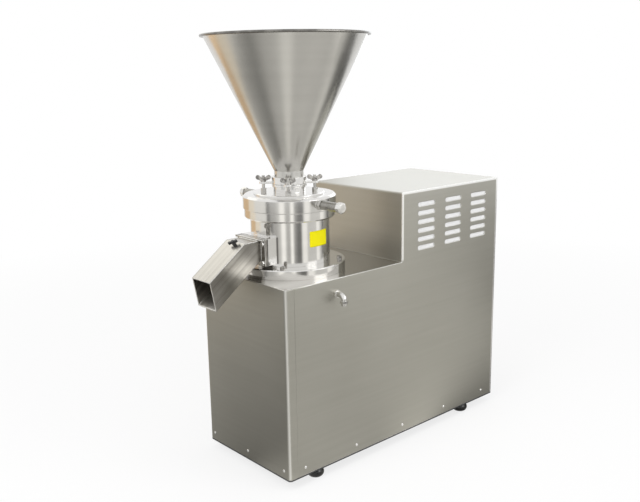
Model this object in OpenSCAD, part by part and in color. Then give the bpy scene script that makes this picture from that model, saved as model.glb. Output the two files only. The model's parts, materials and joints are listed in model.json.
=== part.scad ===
// Belt-driven vertical colloid mill: a folded sheet cabinet with a low deck and a tall motor hood,
// and a mill head with a gap adjusting ring, a feed hopper and a sloping discharge chute.
// All sizes in millimetres. The floor is z = 0, the front faces -Y, and the spindle is vertical.

/* [Cabinet] */
// Width over the side panels
cab_w = 350; // [330:1:420]
// Length from the front panel to the rear panel
cab_l = 830; // [800:1:950]
// Height of the deck above the cabinet's bottom edge
deck_h = 500; // [470:1:560]
// Height of the hood above the cabinet's bottom edge
hood_h = 690; // [670:1:760]
// Distance from the front panel to the hood's front face
hood_setback = 410; // [380:1:430]
// Thickness of the panels
sheet_t = 2; // [1:0.5:3]
// Outer radius of the folded front corners
corner_r = 9; // [7:1:16]
// Outer radius of the fold along the hood's front top edge
hood_fold_r = 4; // [3:0.5:8]
// Width of the front panel's return on each side
front_return = 28; // [20:1:40]
// Thickness of the base plate
base_t = 4; // [3:1:8]
// Height of the base plate's upright lip
lip_h = 36; // [30:1:50]
// Thickness of the lip
lip_t = 3; // [2:0.5:4]
// Depth of the deck plate's turned-down edge
deck_edge = 20; // [10:1:30]
// Width of the side panels' rear return flange
rear_flange_w = 24; // [16:1:40]

/* [Rivets and panel screws] */
// Height of the rivet row above the cabinet's bottom edge
rivet_rise = 24.5; // [18:0.5:30]
// Distance of the end rivets from the cabinet's corners along the sides
rivet_inset = 52; // [40:1:80]
// Distance of the outer front rivets from the cabinet's sides
rivet_front_inset = 23; // [18:1:40]
// Number of rivets along each side
rivet_count = 5; // [3:1:8]
// Radius of a rivet or panel screw head
rivet_head_r = 4; // [3:0.25:6]
// Height of that head
rivet_head_h = 2.2; // [1.5:0.1:4]
// Radius of its shank
rivet_r = 2; // [1.5:0.25:2.5]
// Number of screws up each side of the rear panel
rear_screw_count = 4; // [3:1:7]

/* [Vents] */
// Length of a vent slot, as a share of the hood's length
slot_share = 0.167; // [0.12:0.001:0.2]
// Height of a vent slot
slot_h = 17.5; // [10:0.5:19]
// Number of slot columns
vent_cols = 3; // [2:1:3]
// Number of slot rows
vent_rows = 6; // [2:1:6]
// Distance between slot columns, as a share of the hood's length
col_share = 0.274; // [0.23:0.001:0.285]
// Distance between slot rows
row_pitch = 24.2; // [21:0.1:26]
// From the cabinet's back to the middle of the last slot column, as a share of the hood's length
vent_share = 0.217; // [0.18:0.001:0.26]
// From the hood's top to the middle of the top slot row
vent_drop = 40; // [30:1:55]
// Thickness of the felt behind the slots
felt_t = 4; // [2:1:8]
// Margin of the felt around the slots
felt_margin = 8; // [4:1:12]

/* [Feet] */
// Diameter of a rubber foot
foot_d = 38; // [32:1:46]
// Height of a rubber foot
foot_h = 25; // [20:1:40]
// Radius of a foot's rounded lower edge
foot_edge_r = 7; // [4:0.5:8]
// Distance from the cabinet's side to a foot's middle
foot_side = 23; // [20:1:40]
// Distance from the front panel to the front feet
foot_front = 105; // [90:1:140]
// Distance from the rear panel to the rear feet
foot_back = 127; // [90:1:160]
// Radius of a foot screw
foot_screw_r = 4; // [3:0.5:5]

/* [Mill head] */
// Distance from the front panel to the spindle axis
axis_setback = 165; // [155:1:185]
// Radius of the base disc
disc_r = 144; // [136:1:152]
// Distance of the disc's bolts from its edge
disc_bolt_inset = 15; // [12:0.5:20]
// Turn of the disc's bolts from the diagonals in degrees
disc_bolt_turn = -4; // [-10:1:10]
// Thickness of the base disc
disc_t = 25; // [20:1:32]
// Radius of the mill housing
housing_r = 104; // [100:1:110]
// Height of the housing's plain barrel
housing_h = 115; // [110:1:130]
// Thickness of the housing's floor
housing_floor_t = 20; // [16:1:24]
// Radius of the collar under the adjusting ring
collar_r = 119; // [113:0.5:121]
// Height of the collar
collar_h = 24; // [18:1:34]
// Chamfer on the collar's lower edge
collar_chamfer = 4; // [1:0.5:6]
// Radius of the adjusting ring
ring_r = 122; // [117:0.5:128]
// Height of the adjusting ring
ring_h = 36; // [32:1:44]
// Bevel on the adjusting ring's upper edge
ring_bevel = 5; // [1:0.5:8]
// Height of the housing's neck inside the ring
neck_h = 16; // [10:1:18]
// Wall of that neck around the stator
neck_wall = 10.5; // [8:0.5:12]
// Radius of the feed cover
cover_r = 93; // [88:0.5:94]
// Thickness of the feed cover
cover_t = 18; // [14:1:20]
// Rise of the feed cover above the adjusting ring
cover_rise = 5; // [2:0.5:10]
// Running clearance of the ring and of the sliding stator
slide_gap = 0.3; // [0.2:0.05:0.6]
// Clearance of pieces that are fastened together
fit = 0.05; // [0.02:0.01:0.1]

/* [Handles] */
// Radius of a handle grip
grip_r = 11.5; // [9:0.5:13]
// Length of a handle grip
grip_l = 57; // [40:1:80]
// Radius of a handle cap over its corners
cap_r = 14.5; // [12:0.5:17]
// Length of a handle cap
cap_l = 15; // [10:1:20]
// Radius of a handle's threaded root
handle_stud_r = 6; // [5:0.5:8]
// Depth of the threaded root in the ring
handle_stud_l = 16; // [12:1:20]
// Radius of a handle lock nut over its corners
handle_nut_r = 14; // [11:0.5:16]
// Thickness of a handle lock nut
handle_nut_t = 9; // [6:0.5:12]

/* [Inlet and hopper] */
// Outer radius of the feed cover's inlet neck
inlet_r = 42; // [40:0.5:45]
// Bore radius of the inlet
inlet_bore_r = 36; // [32:0.5:37]
// Height of the inlet neck
inlet_h = 19.5; // [16:0.5:30]
// Radius of the flange lip on the inlet neck and of the hopper flange
flange_r = 45.5; // [44:0.5:50]
// Thickness of the inlet neck's lip
inlet_lip_t = 5; // [3:0.5:8]
// Thickness of the hopper gasket
hopper_gasket_t = 1.5; // [1:0.5:3]
// Thickness of the hopper flange's ears
ear_t = 5; // [4:0.5:8]
// Radius of an ear's round end
ear_r = 11; // [9:0.5:14]
// Height of the whole hopper flange
flange_h = 18; // [14:1:26]
// Outer radius of the hopper's neck
hopper_neck_r = 38.5; // [35:0.5:40]
// Height of the hopper's neck
hopper_neck_h = 34; // [30:1:50]
// Height of the hopper's cone
cone_h = 343; // [280:1:400]
// Outer radius of the cone at its rim
cone_rim_r = 209; // [180:0.5:230]
// Thickness of the hopper's sheet
hopper_t = 2; // [1:0.25:3]
// Radius of the rolled rim
rim_r = 3.5; // [2.5:0.25:6]

/* [Studs and wing nuts] */
// Radius of the stud circle
stud_circle_r = 67; // [63:0.5:72]
// Angle of the first stud from the front, towards +X
stud_angle = 48; // [0:1:89]
// Radius of a stud
stud_r = 4; // [3:0.5:5]
// Depth of a stud in the feed cover
stud_depth = 12; // [8:1:13]
// Height of a stud above its wing nut's hub
stud_tip = 7; // [3:1:12]
// Radius of a stud's lock nut over its corners
stud_nut_r = 7.5; // [6.5:0.25:9]
// Height of a stud's lock nut
stud_nut_h = 9; // [5:0.5:11]
// Radius of a wing nut's hub
wing_hub_r = 7; // [6:0.25:8]
// Height of a wing nut's hub
wing_hub_h = 9; // [7:0.5:12]
// Half span of a wing nut
wing_span = 20; // [17:0.5:21]
// Thickness of a wing
wing_t = 3; // [2:0.25:4]

/* [Rotor and stator] */
// Largest radius of the rotor
rotor_r = 66; // [60:0.5:70]
// Smallest radius of the rotor
rotor_top_r = 48; // [44:0.5:54]
// Height of the rotor
rotor_h = 62; // [50:1:68]
// Radial gap between rotor and stator at rest
mill_gap = 0.8; // [0.6:0.05:1.2]
// Number of teeth on the rotor
tooth_count = 28; // [16:1:36]
// Depth of a tooth groove
tooth_depth = 2.5; // [1.5:0.25:4]
// Width of a tooth groove
tooth_w = 4; // [2:0.25:6]
// Slant of the tooth grooves in degrees
tooth_slant = 14; // [0:1:20]
// Wall between the feed cover and the stator's cone
stator_lip = 12; // [10:1:16]
// Room between the rotor's top and the stator's lip
rotor_head = 6; // [4:0.5:9]
// Step from the feed cover's edge to the stator's outside
stator_step = 5; // [3:0.5:8]
// Radius of the spindle's rotor seat
rotor_seat_r = 15; // [12:0.5:18]
// Height of the feed impeller above the rotor
impeller_h = 42; // [30:1:44]
// Radius of the feed impeller's blades
impeller_r = 33; // [26:0.5:34]

/* [Spindle and bearings] */
// Radius of the spindle at the seal
seal_seat_r = 18; // [18:0.5:19.5]
// Radius of the spindle between its bearings
spindle_r = 24; // [23:0.5:25]
// Bore of the spindle bearings
bearing_id = 40; // [40:1:44]
// Outer diameter of the spindle bearings
bearing_od = 80; // [78:1:90]
// Width of a spindle bearing
bearing_w = 18; // [14:1:20]
// Radius of a bearing ball
ball_r = 5.5; // [4:0.25:6]
// Number of balls in a bearing
ball_count = 9; // [6:1:10]
// Length of the bearing housing under the stand
bearing_housing_l = 240; // [200:1:260]
// Radius of the bearing housing
bearing_housing_r = 62; // [56:1:68]
// Radius of the bearing housing's flange and spigot
bearing_flange_r = 96; // [92:1:104]
// Radius of the bearing housing's spigot
spigot_r = 70; // [62:1:74]
// Thickness of the bearing housing's flange
bearing_flange_t = 14; // [10:1:18]
// Thickness of the lower bearing cap
bearing_cap_t = 12; // [8:1:16]

/* [Drive] */
// Distance from the motor's axis to the rear panel
motor_back = 210; // [195:1:225]
// Pitch radius of the spindle's pulley
driven_r = 56; // [50:0.5:62]
// Pitch radius of the motor's pulley
drive_r = 70; // [64:0.5:76]
// Height of the pulleys' lower face above the floor
pulley_z = 175; // [150:1:190]
// Number of belts
belt_count = 3; // [1:1:4]
// Distance between belts
belt_pitch = 16; // [15:0.5:18]
// Width of a belt at its back
belt_w = 12.5; // [11:0.25:13]
// Thickness of a belt
belt_h = 8; // [7:0.25:9]
// Half angle of the belt's flanks in degrees
belt_angle = 17; // [15:1:19]
// Clearance of a belt in its groove
belt_gap = 0.5; // [0.3:0.05:0.8]
// Radius of the spindle's pulley seat
pulley_seat_r = 17.5; // [15:0.5:19]

/* [Motor] */
// Radius of the motor's frame under the fins
motor_r = 108; // [100:1:114]
// Height of the cooling fins
fin_h = 18; // [10:1:20]
// Thickness of a cooling fin
fin_t = 3; // [2:0.5:4]
// Number of cooling fins
fin_count = 32; // [20:4:40]
// Length of the motor's frame
motor_l = 256; // [230:1:280]
// Radius of the motor's flange
motor_flange_r = 150; // [146:1:156]
// Thickness of the motor's flange
motor_flange_t = 14; // [10:1:18]
// Radius of the motor's bolt circle
motor_bolt_circle = 132.5; // [130:0.5:136]
// Radius of a motor bolt
motor_bolt_r = 6; // [5:0.5:7]
// Radius of the motor's shaft
motor_shaft_r = 19; // [16:0.5:21]
// Radius of the motor's rotor core
motor_core_r = 79; // [70:1:84]
// Height of the fan cover
fan_cover_h = 84; // [76:1:100]
// Height of the motor stand's plate above the floor
motor_plate_z = 248; // [240:1:262]
// Travel of the motor in its belt-tension slots, each way
tension_travel = 10; // [5:1:14]

/* [Stands] */
// Thickness of the stand plates
stand_t = 12; // [10:1:16]
// Width of a square stand post
post_w = 40; // [30:1:44]
// Wall of a stand post
post_wall = 3; // [2:0.5:5]
// Gap between the stand plates and the panels
stand_gap = 8; // [6:1:14]

/* [Discharge chute] */
// Width over the chute
chute_w = 77; // [66:1:80]
// Depth of the chute, square to its slope
chute_h = 69; // [60:1:76]
// Slope of the chute in degrees
chute_slope = 36.5; // [34:0.5:42]
// Slant of the chute's mouth from the vertical in degrees
mouth_tilt = 11; // [0:1:20]
// Reach of the chute's mouth past the front panel
chute_reach = 121; // [100:1:140]
// Thickness of the chute's sheet
chute_t = 2; // [1.5:0.25:3]
// Height of the outlet's floor above the base disc
outlet_rise = 26; // [25:0.5:30]
// Height of the outlet passage
outlet_h = 44; // [36:1:48]
// Reach of the outlet block from the spindle axis
outlet_reach = 118; // [114:1:122]
// Width of the outlet flange past each side of the chute
flange_margin = 15.5; // [15:0.5:20]
// Depth of the outlet flange under the passage
flange_drop = 18; // [16:0.5:20]
// Height of the outlet flange over the passage
flange_top = 7; // [5:0.5:9]
// Thickness of the chute's flange
chute_flange_t = 8; // [6:0.5:10]
// Thickness of the chute gasket
chute_gasket_t = 2; // [1:0.5:3]
// Reach of the cover lip over the flange bolts
lip_reach = 11; // [8:0.5:14]
// Radius of a flange bolt
flange_bolt_r = 3.5; // [2.5:0.25:3.5]
// Radius of a flange bolt's head over its corners
flange_head_r = 6.9; // [5:0.1:7]
// Height of a flange bolt's head
flange_head_h = 6; // [4:0.5:7]
// Height of the black wing knob over the chute's top
knob_l = 13; // [11:1:26]
// Half span of the knob's wings
knob_reach = 13; // [11:0.5:16]
// Place of the knob across the chute
knob_x = 6; // [-20:1:20]
// Distance of the knob down the slope from the fold in the chute's top
knob_down = 9; // [8:1:40]

/* [Lock lever and water elbow] */
// Angle of the lock lever from the front, towards +X
lever_angle = 18; // [0:1:24]
// Drop of the lever's pivot below the collar
lever_drop = 9; // [8.5:0.5:12]
// Length of the lever's arm
lever_l = 27; // [18:1:28]
// Radius of the lever's boss
lever_boss_r = 7; // [6:0.25:8]
// Thickness of the lever's boss
lever_boss_t = 8; // [6:0.5:12]
// Radius of the lever's arm
lever_arm_r = 3.2; // [2.5:0.1:4]
// Drop of the water elbow below the deck
elbow_drop = 38; // [36:1:60]
// Radius of the water pipe
pipe_r = 7.5; // [6:0.25:9]
// Bore radius of the water pipe
pipe_bore_r = 5; // [3:0.25:5.5]
// Radius of the elbow's bend
elbow_bend_r = 13; // [11:0.5:18]
// Length of the elbow's straight leg out of the panel
elbow_out = 9; // [6:0.5:14]
// Length of the elbow's leg down
elbow_down = 13; // [8:0.5:20]
// Radius of the elbow's hexagons over their corners
elbow_hex_r = 11; // [9.5:0.5:14]

/* [Hidden] */
$fn = 64;

// Colours
stainless = [0.72, 0.71, 0.68];
polished = [0.84, 0.84, 0.83];
dark_paint = [0.16, 0.16, 0.16];
rubber_black = [0.05, 0.05, 0.05];
felt_white = [0.93, 0.93, 0.91];
steel = [0.55, 0.56, 0.58];
motor_blue = [0.25, 0.35, 0.45];
seal_green = [0.35, 0.45, 0.40];

// Small overlap for cuts, so that no cut ends on a face
cut = 1;

// Levels and places shared by the pieces
gland_hex_h = 6;
gland_dome_h = 10;
gland_reach = gland_hex_h + gland_dome_h;
front_y = (chute_reach - cab_l - gland_reach) / 2;
back_y = front_y + cab_l;
hood_y = front_y + hood_setback;
side_x = cab_w / 2;
inner_x = side_x - sheet_t;
mill_y = front_y + axis_setback;
motor_y = back_y - motor_back;
belt_centres = motor_y - mill_y;
hood_l = cab_l - hood_setback;
slot_l = slot_share * hood_l;
col_pitch = col_share * hood_l;
vent_back = vent_share * hood_l;
z_base = foot_h;
z_tray = z_base + base_t;
z_deck = z_base + deck_h;
z_hood = z_base + hood_h;
z_stand_top = z_deck - sheet_t;
z_stand = z_stand_top - stand_t;
z_body = z_deck + disc_t;
z_collar = z_body + housing_h;
z_ring = z_collar + collar_h;
z_ring_top = z_ring + ring_h;
z_cover_top = z_ring_top + cover_rise;
z_cover = z_cover_top - cover_t;
z_inlet_top = z_cover_top + inlet_h;
z_ears = z_inlet_top + hopper_gasket_t;
z_ears_top = z_ears + ear_t;
z_cone = z_ears + hopper_neck_h;
z_rim = z_cone + cone_h;
z_handle = z_ring + ring_h / 2;
stator_r = cover_r - stator_step;
neck_r = stator_r + neck_wall;
z_neck_top = z_ring + neck_h;
z_rotor_top = z_cover - stator_lip - rotor_head;
z_rotor = z_rotor_top - rotor_h;
stator_start = 4;
z_stator = z_rotor + stator_start;
hole_margin = 6;

// Fasteners of the mill head and its stand
disc_bolt_circle = disc_r - disc_bolt_inset;
mill_bolt_r = 4;
mill_bolt_head_r = 6.5;
mill_bolt_head_h = 8;
housing_screw_circle = spigot_r + mill_bolt_head_r + 6;
bearing_bolt_circle = (bearing_housing_r + bearing_flange_r) / 2 + 3;
diagonals = [45, 135, 225, 315];

// Discharge chute, worked out from its slope; y is along the machine and z is up
outlet_y = mill_y - outlet_reach;
chute_y = outlet_y - chute_gasket_t - chute_flange_t;
z_outlet = z_body + outlet_rise;
z_outlet_top = z_outlet + outlet_h;
z_flange = z_outlet - flange_drop;
z_flange_top = z_outlet_top + flange_top;
flange_x = chute_w / 2 + flange_margin;
passage_x = chute_w / 2 - chute_t;
slope_t = chute_t / cos(chute_slope);
slope_h = chute_h / cos(chute_slope);
mouth_y = front_y - chute_reach;
mouth_l = slope_h / (cos(mouth_tilt) + sin(mouth_tilt) * tan(chute_slope));
head_clear = 1;
head_sink = 0.5;
guide_slot_l = 12;
guide_travel = 2;
seal_wall = 12;
seal_rise = 4;
shaft_clear = 20;
core_gap = 20;
head_edge = 1;
flange_bolt_x = flange_x - flange_head_r - head_edge;
flange_bolt_low = z_flange + flange_head_r + head_edge;
lip_plate_t = 5;
flange_bolt_high = z_flange_top - lip_plate_t - flange_head_r - head_edge;
bolt_depth = 12;
knob_hub_r = 5;
knob_wing_r = 3.5;
knob_wing_t = 6;
knob_turn = 35;
knob_stem_r = 3;
knob_stem_l = 6;

// Underside and top of the sloping chute at a place along the machine
function chute_low(y) = z_outlet - slope_t + (y - chute_y) * tan(chute_slope);
function chute_high(y) = chute_low(y) + slope_h;
function chute_knee(z) = mouth_y + (z - chute_high(mouth_y)) / tan(chute_slope);
z_chute_top = z_outlet_top + chute_t;
knob_y = chute_knee(z_chute_top) - knob_down * cos(chute_slope);
knob_z = z_chute_top - knob_down * sin(chute_slope);

// Rotor radius at a height, which the stator's cone follows
function rotor_at(z) = rotor_r - (z - z_rotor) * (rotor_r - rotor_top_r) / rotor_h;
rotor_lean = atan((rotor_r - rotor_top_r) / rotor_h);

// Spindle levels, from the pulley up to the impeller
bearing_r = bearing_id / 2;
z_bearing_housing = z_stand - bearing_housing_l;
z_low_bearing = z_bearing_housing;
z_high_bearing = z_stand - hole_margin - bearing_w;
z_low_cap = z_bearing_housing - bearing_cap_t;
pulley_h = belt_count * belt_pitch + 4;
// Length that a belt's straight runs reach into its arcs, and how much slimmer they are on each side
belt_lap = 1;
belt_step = 0.05;
z_pulley_top = pulley_z + pulley_h;
nose_r = 9;
nose_l = 24;
ball_circle = (bearing_id + bearing_od) / 4;
race_gap = 0.15;
race_wall = 6;
bearing_bore_r = bearing_od / 2 + fit;
seal_h = 16;

// Motor levels
z_motor = motor_plate_z + stand_t;
z_motor_frame = z_motor + motor_flange_t;
z_motor_top = z_motor_frame + motor_l;
motor_end_t = 12;
motor_boss_l = 20;
fan_shaft_r = 12;
fan_r = motor_r - 12;
fan_rise = 14;
fan_blade_h = 34;
fan_hub_r = 26;
fan_blades = 7;
fan_cover_t = 2;
z_fan = z_motor_top + fan_rise;
motor_bolt_head_h = 8;
motor_bolt_head_r = 1.8 * motor_bolt_r;
fin_start = motor_bolt_head_h + 6;

// Water elbow and inner pipe
elbow_y = mill_y;
z_elbow = z_deck - elbow_drop;
elbow_hex_t = 7;
elbow_x = side_x + elbow_hex_t + elbow_out;
elbow_end_z = z_elbow - elbow_bend_r - elbow_down;

// Screws that hold the rear panel, clear of the lip and of the hood's top
rear_screw_x = inner_x - rear_flange_w / 2;
rear_screw_gap = 35;
rear_screw_low = z_tray + lip_h + rear_screw_gap;
rear_screw_high = z_hood - rear_screw_gap;
function rear_screw_z(i) = rear_screw_low + i * (rear_screw_high - rear_screw_low) / (rear_screw_count - 1);
function side_rivet_y(i) = front_y + rivet_inset + i * (cab_l - 2 * rivet_inset) / (rivet_count - 1);
front_rivets = [-side_x + rivet_front_inset, 0, side_x - rivet_front_inset];
z_rivet = z_base + rivet_rise;
gland_x = -90;
gland_z = 110;
gland_r = 10;
gland_bore_r = 6;
foot_rows = [front_y + foot_front, back_y - foot_back];
foot_places = [for (s = [-1, 1], y = foot_rows) [s * (side_x - foot_side), y]];
foot_recess_h = 9;
foot_head_h = 5;

// Plan outline of the cabinet, inset from its outer face, with folded front corners
module cabinet_outline(inset) {
  r = max(corner_r - inset, 0.5);
  half_w = side_x - inset;
  low_y = front_y + inset;
  depth = back_y - inset - low_y;
  translate([-half_w, low_y + r])
    square([2 * half_w, depth - r]);
  translate([-half_w + r, low_y])
    square([2 * (half_w - r), depth]);
  for (s = [-1, 1])
    translate([s * (half_w - r), low_y + r])
      circle(r);
}

// Part of the plan in front of the hood, for the deck
module deck_outline(inset) {
  intersection() {
    cabinet_outline(sheet_t + fit + inset);
    translate([-cab_w, front_y])
      square([2 * cab_w, hood_setback + sheet_t - inset]);
  }
}

// Side view of the hood, inset from its outer face; drawn with y across and z up
module hood_outline(inset) {
  r = hood_fold_r - inset;
  low_y = hood_y + inset;
  top = z_hood - inset;
  translate([low_y, z_deck])
    square([back_y - low_y, top - r - z_deck]);
  translate([low_y + r, z_deck])
    square([back_y - low_y - r, top - z_deck]);
  translate([low_y + r, top - r])
    circle(r);
}

// Stands a y-z drawing upright and gives it a thickness along x, centred
module across(width) {
  translate([-width / 2, 0, 0])
    rotate([90, 0, 90])
      linear_extrude(width)
        children();
}

// Ring between two radii and two heights
module tube(outer, inner, low, high) {
  translate([0, 0, low])
    difference() {
      cylinder(r = outer, h = high - low);
      translate([0, 0, -cut])
        cylinder(r = inner, h = high - low + 2 * cut);
    }
}

// Solid cylinder between two heights
module rod(r, low, high) {
  translate([0, 0, low])
    cylinder(r = r, h = high - low);
}

// Places children around the spindle axis, at an angle from the front towards +X
module on_mill(angle, radius, z) {
  translate([radius * sin(angle), mill_y - radius * cos(angle), z])
    children();
}

// Places children on the motor's bolt circle
module on_motor(angle, z) {
  translate([motor_bolt_circle * cos(angle), motor_y + motor_bolt_circle * sin(angle), z])
    children();
}

// Turns children so that their +Z points out from the spindle axis at that angle
module facing_out(angle) {
  rotate([0, 0, angle])
    rotate([90, 0, 0])
      children();
}

// Round-edged head with a shank below it; the head sits on z = 0
module rivet(shank_l) {
  rotate_extrude()
    polygon([[0, -shank_l], [rivet_r, -shank_l], [rivet_r, 0], [rivet_head_r, 0],
      [rivet_head_r, rivet_head_h * 0.4], [rivet_head_r * 0.8, rivet_head_h * 0.8],
      [rivet_head_r * 0.4, rivet_head_h], [0, rivet_head_h]]);
}

// Socket head bolt, head up from z = 0 and shank down
module socket_bolt(r, head_r, head_h, shank_l) {
  rod(r, -shank_l, 0);
  difference() {
    rod(head_r, 0, head_h);
    translate([0, 0, head_h / 2])
      cylinder(r = head_r * 0.55, h = head_h, $fn = 6);
  }
}

// Hexagon head bolt, head up from z = 0 and shank down
module hex_bolt(r, head_r, head_h, shank_l) {
  rod(r, -shank_l, 0);
  cylinder(r = head_r, h = head_h, $fn = 6);
}

module hex_nut(r, bore_r, h) {
  difference() {
    cylinder(r = r, h = h, $fn = 6);
    rod(bore_r, -cut, h + cut);
  }
}

// Stadium-shaped slot cutter through x, centred on the origin
module slot_cutter(length, height, depth) {
  run = length - height;
  rotate([0, 90, 0]) {
    cube([height, run, depth], center = true);
    for (s = [-1, 1])
      translate([0, s * run / 2, 0])
        cylinder(r = height / 2, h = depth, center = true);
  }
}

// Cutters for the rivet shanks, through panels and lip
module rivet_holes() {
  depth = sheet_t + lip_t + 4 * cut;
  for (x = front_rivets)
    translate([x, front_y - cut, z_rivet])
      rotate([-90, 0, 0])
        cylinder(r = rivet_r + fit, h = depth);
  for (s = [-1, 1], i = [0:rivet_count - 1])
    translate([s * (side_x + cut), side_rivet_y(i), z_rivet])
      rotate([0, -s * 90, 0])
        cylinder(r = rivet_r + fit, h = depth);
}

// Cutters for the rear panel's screws
module rear_screw_holes() {
  for (s = [-1, 1], i = [0:rear_screw_count - 1])
    translate([s * rear_screw_x, back_y + cut, rear_screw_z(i)])
      rotate([90, 0, 0])
        cylinder(r = rivet_r + fit, h = 2 * sheet_t + 2 * cut);
}

// Folded base tray that the panels are riveted to
module base_plate() {
  color(dark_paint)
    difference() {
      union() {
        translate([0, 0, z_base])
          linear_extrude(base_t)
            cabinet_outline(0);
        translate([0, 0, z_tray])
          linear_extrude(lip_h)
            difference() {
              cabinet_outline(sheet_t + fit);
              cabinet_outline(sheet_t + fit + lip_t);
            }
      }
      rivet_holes();
      for (p = foot_places)
        translate([p.x, p.y, z_base - cut])
          cylinder(r = foot_screw_r + fit, h = base_t + 2 * cut);
    }
}

// Front panel with its two rounded corners and short returns
module front_panel() {
  color(stainless)
    difference() {
      translate([0, 0, z_tray])
        linear_extrude(z_deck - z_tray)
          intersection() {
            difference() {
              cabinet_outline(0);
              cabinet_outline(sheet_t);
            }
            translate([-cab_w, front_y])
              square([2 * cab_w, front_return]);
          }
      rivet_holes();
    }
}

// Side panel stepped up at the hood, with vent slots and a rear return flange
module side_panel(side) {
  low_y = front_y + front_return;
  flange_low = z_tray + lip_h + cut;
  color(stainless)
    difference() {
      union() {
        translate([side * (side_x - sheet_t / 2), 0, 0])
          across(sheet_t) {
            translate([low_y, z_tray])
              square([back_y - low_y, z_deck - z_tray]);
            hood_outline(0);
          }
        translate([side * (inner_x - rear_flange_w / 2), back_y - 1.5 * sheet_t, 0])
          translate([-rear_flange_w / 2, -sheet_t / 2, flange_low])
            cube([rear_flange_w, sheet_t, z_hood - sheet_t - fit - flange_low]);
      }
      rivet_holes();
      rear_screw_holes();
      vent_cutters(side);
      if (side > 0)
        translate([inner_x - cut, elbow_y, z_elbow])
          rotate([0, 90, 0])
            cylinder(r = pipe_r + fit, h = sheet_t + 2 * cut);
    }
}

function vent_y(i) = back_y - vent_back - i * col_pitch;
function vent_z(j) = z_hood - vent_drop - j * row_pitch;

module vent_cutters(side) {
  for (i = [0:vent_cols - 1], j = [0:vent_rows - 1])
    translate([side * (side_x - sheet_t / 2), vent_y(i), vent_z(j)])
      slot_cutter(slot_l, slot_h, sheet_t + 2 * cut);
}

// White felt that keeps dust out of the motor space
module vent_felts() {
  low_y = vent_y(vent_cols - 1) - slot_l / 2 - felt_margin;
  high_y = vent_y(0) + slot_l / 2 + felt_margin;
  low_z = vent_z(vent_rows - 1) - slot_h / 2 - felt_margin;
  high_z = vent_z(0) + slot_h / 2 + felt_margin;
  color(felt_white)
    for (s = [-1, 1])
      translate([s * (inner_x - felt_t / 2), (low_y + high_y) / 2, (low_z + high_z) / 2])
        cube([felt_t, high_y - low_y, high_z - low_z], center = true);
}

// Deck sheet with turned-down edges and holes for the spindle and the disc's bolts
module deck_plate() {
  color(stainless)
    difference() {
      union() {
        translate([0, 0, z_deck - sheet_t])
          linear_extrude(sheet_t)
            deck_outline(0);
        translate([0, 0, z_deck - deck_edge])
          linear_extrude(deck_edge)
            difference() {
              deck_outline(0);
              deck_outline(sheet_t);
            }
      }
      translate([0, mill_y, z_deck - sheet_t - cut])
        cylinder(r = spigot_r + fit, h = sheet_t + 2 * cut);
      for (a = diagonals)
        on_mill(a + disc_bolt_turn, disc_bolt_circle, z_deck - sheet_t - cut)
          cylinder(r = mill_bolt_r + fit, h = sheet_t + 2 * cut);
    }
}

// Hood front and top in one folded sheet
module hood_cover() {
  color(stainless)
    across(2 * (inner_x - fit))
      difference() {
        hood_outline(0);
        hood_outline(sheet_t);
        translate([hood_y + sheet_t, z_deck - cut])
          square([cab_l, sheet_t + cut]);
      }
}

// Removable back, screwed to the side panels' return flanges
module rear_panel() {
  panel_low = z_tray + fit;
  color(stainless)
    difference() {
      translate([-inner_x + fit, back_y - sheet_t, panel_low])
        cube([2 * (inner_x - fit), sheet_t, z_hood - sheet_t - fit - panel_low]);
      rear_screw_holes();
      translate([gland_x, back_y + cut, gland_z])
        rotate([90, 0, 0])
          cylinder(r = gland_r + fit, h = sheet_t + 2 * cut);
    }
}

// Dome rivets of the panels, and the rear panel's screws
module cabinet_rivets() {
  color(polished) {
    for (x = front_rivets)
      translate([x, front_y, z_rivet])
        rotate([90, 0, 0])
          rivet(sheet_t + lip_t);
    for (s = [-1, 1], i = [0:rivet_count - 1])
      translate([s * side_x, side_rivet_y(i), z_rivet])
        rotate([0, s * 90, 0])
          rivet(sheet_t + lip_t);
    for (s = [-1, 1], i = [0:rear_screw_count - 1])
      translate([s * rear_screw_x, back_y, rear_screw_z(i)])
        rotate([-90, 0, 0])
          rivet(2 * sheet_t);
  }
}

// Cable gland in the rear panel: threaded body, hexagon and dome nut
module cable_gland() {
  hex_r = 1.5 * gland_r;
  color(rubber_black)
    translate([gland_x, back_y, gland_z])
      rotate([-90, 0, 0])
        difference() {
          union() {
            rod(gland_r, -sheet_t - 8, 0);
            cylinder(r = hex_r, h = gland_hex_h, $fn = 6);
            translate([0, 0, gland_hex_h])
              cylinder(r1 = gland_r + 2, r2 = gland_bore_r + 3, h = gland_dome_h);
          }
          rod(gland_bore_r, -sheet_t - 8 - cut, gland_reach + cut);
        }
}

// Rubber feet with a rounded lower edge and a recess for the screw's head
module feet() {
  radius = foot_d / 2;
  color(rubber_black)
    for (p = foot_places)
      translate([p.x, p.y, 0])
        rotate_extrude()
          difference() {
            union() {
              square([radius - foot_edge_r, foot_h]);
              translate([0, foot_edge_r])
                square([radius, foot_h - foot_edge_r]);
              translate([radius - foot_edge_r, foot_edge_r])
                circle(foot_edge_r);
            }
            translate([0, -cut])
              square([2 * foot_screw_r, foot_recess_h + cut]);
            translate([0, -cut])
              square([foot_screw_r + fit, foot_h + 2 * cut]);
          }
}

// Screws up through the feet, with a nut on the base plate
module foot_screws() {
  nut_h = 6.5;
  nut_r = 1.9 * foot_screw_r;
  color(steel)
    for (p = foot_places)
      translate([p.x, p.y, 0]) {
        translate([0, 0, foot_recess_h - foot_head_h])
          cylinder(r = 1.75 * foot_screw_r, h = foot_head_h);
        rod(foot_screw_r, foot_recess_h, z_tray);
        translate([0, 0, z_tray])
          cylinder(r = nut_r, h = nut_h, $fn = 6);
      }
}

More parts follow.
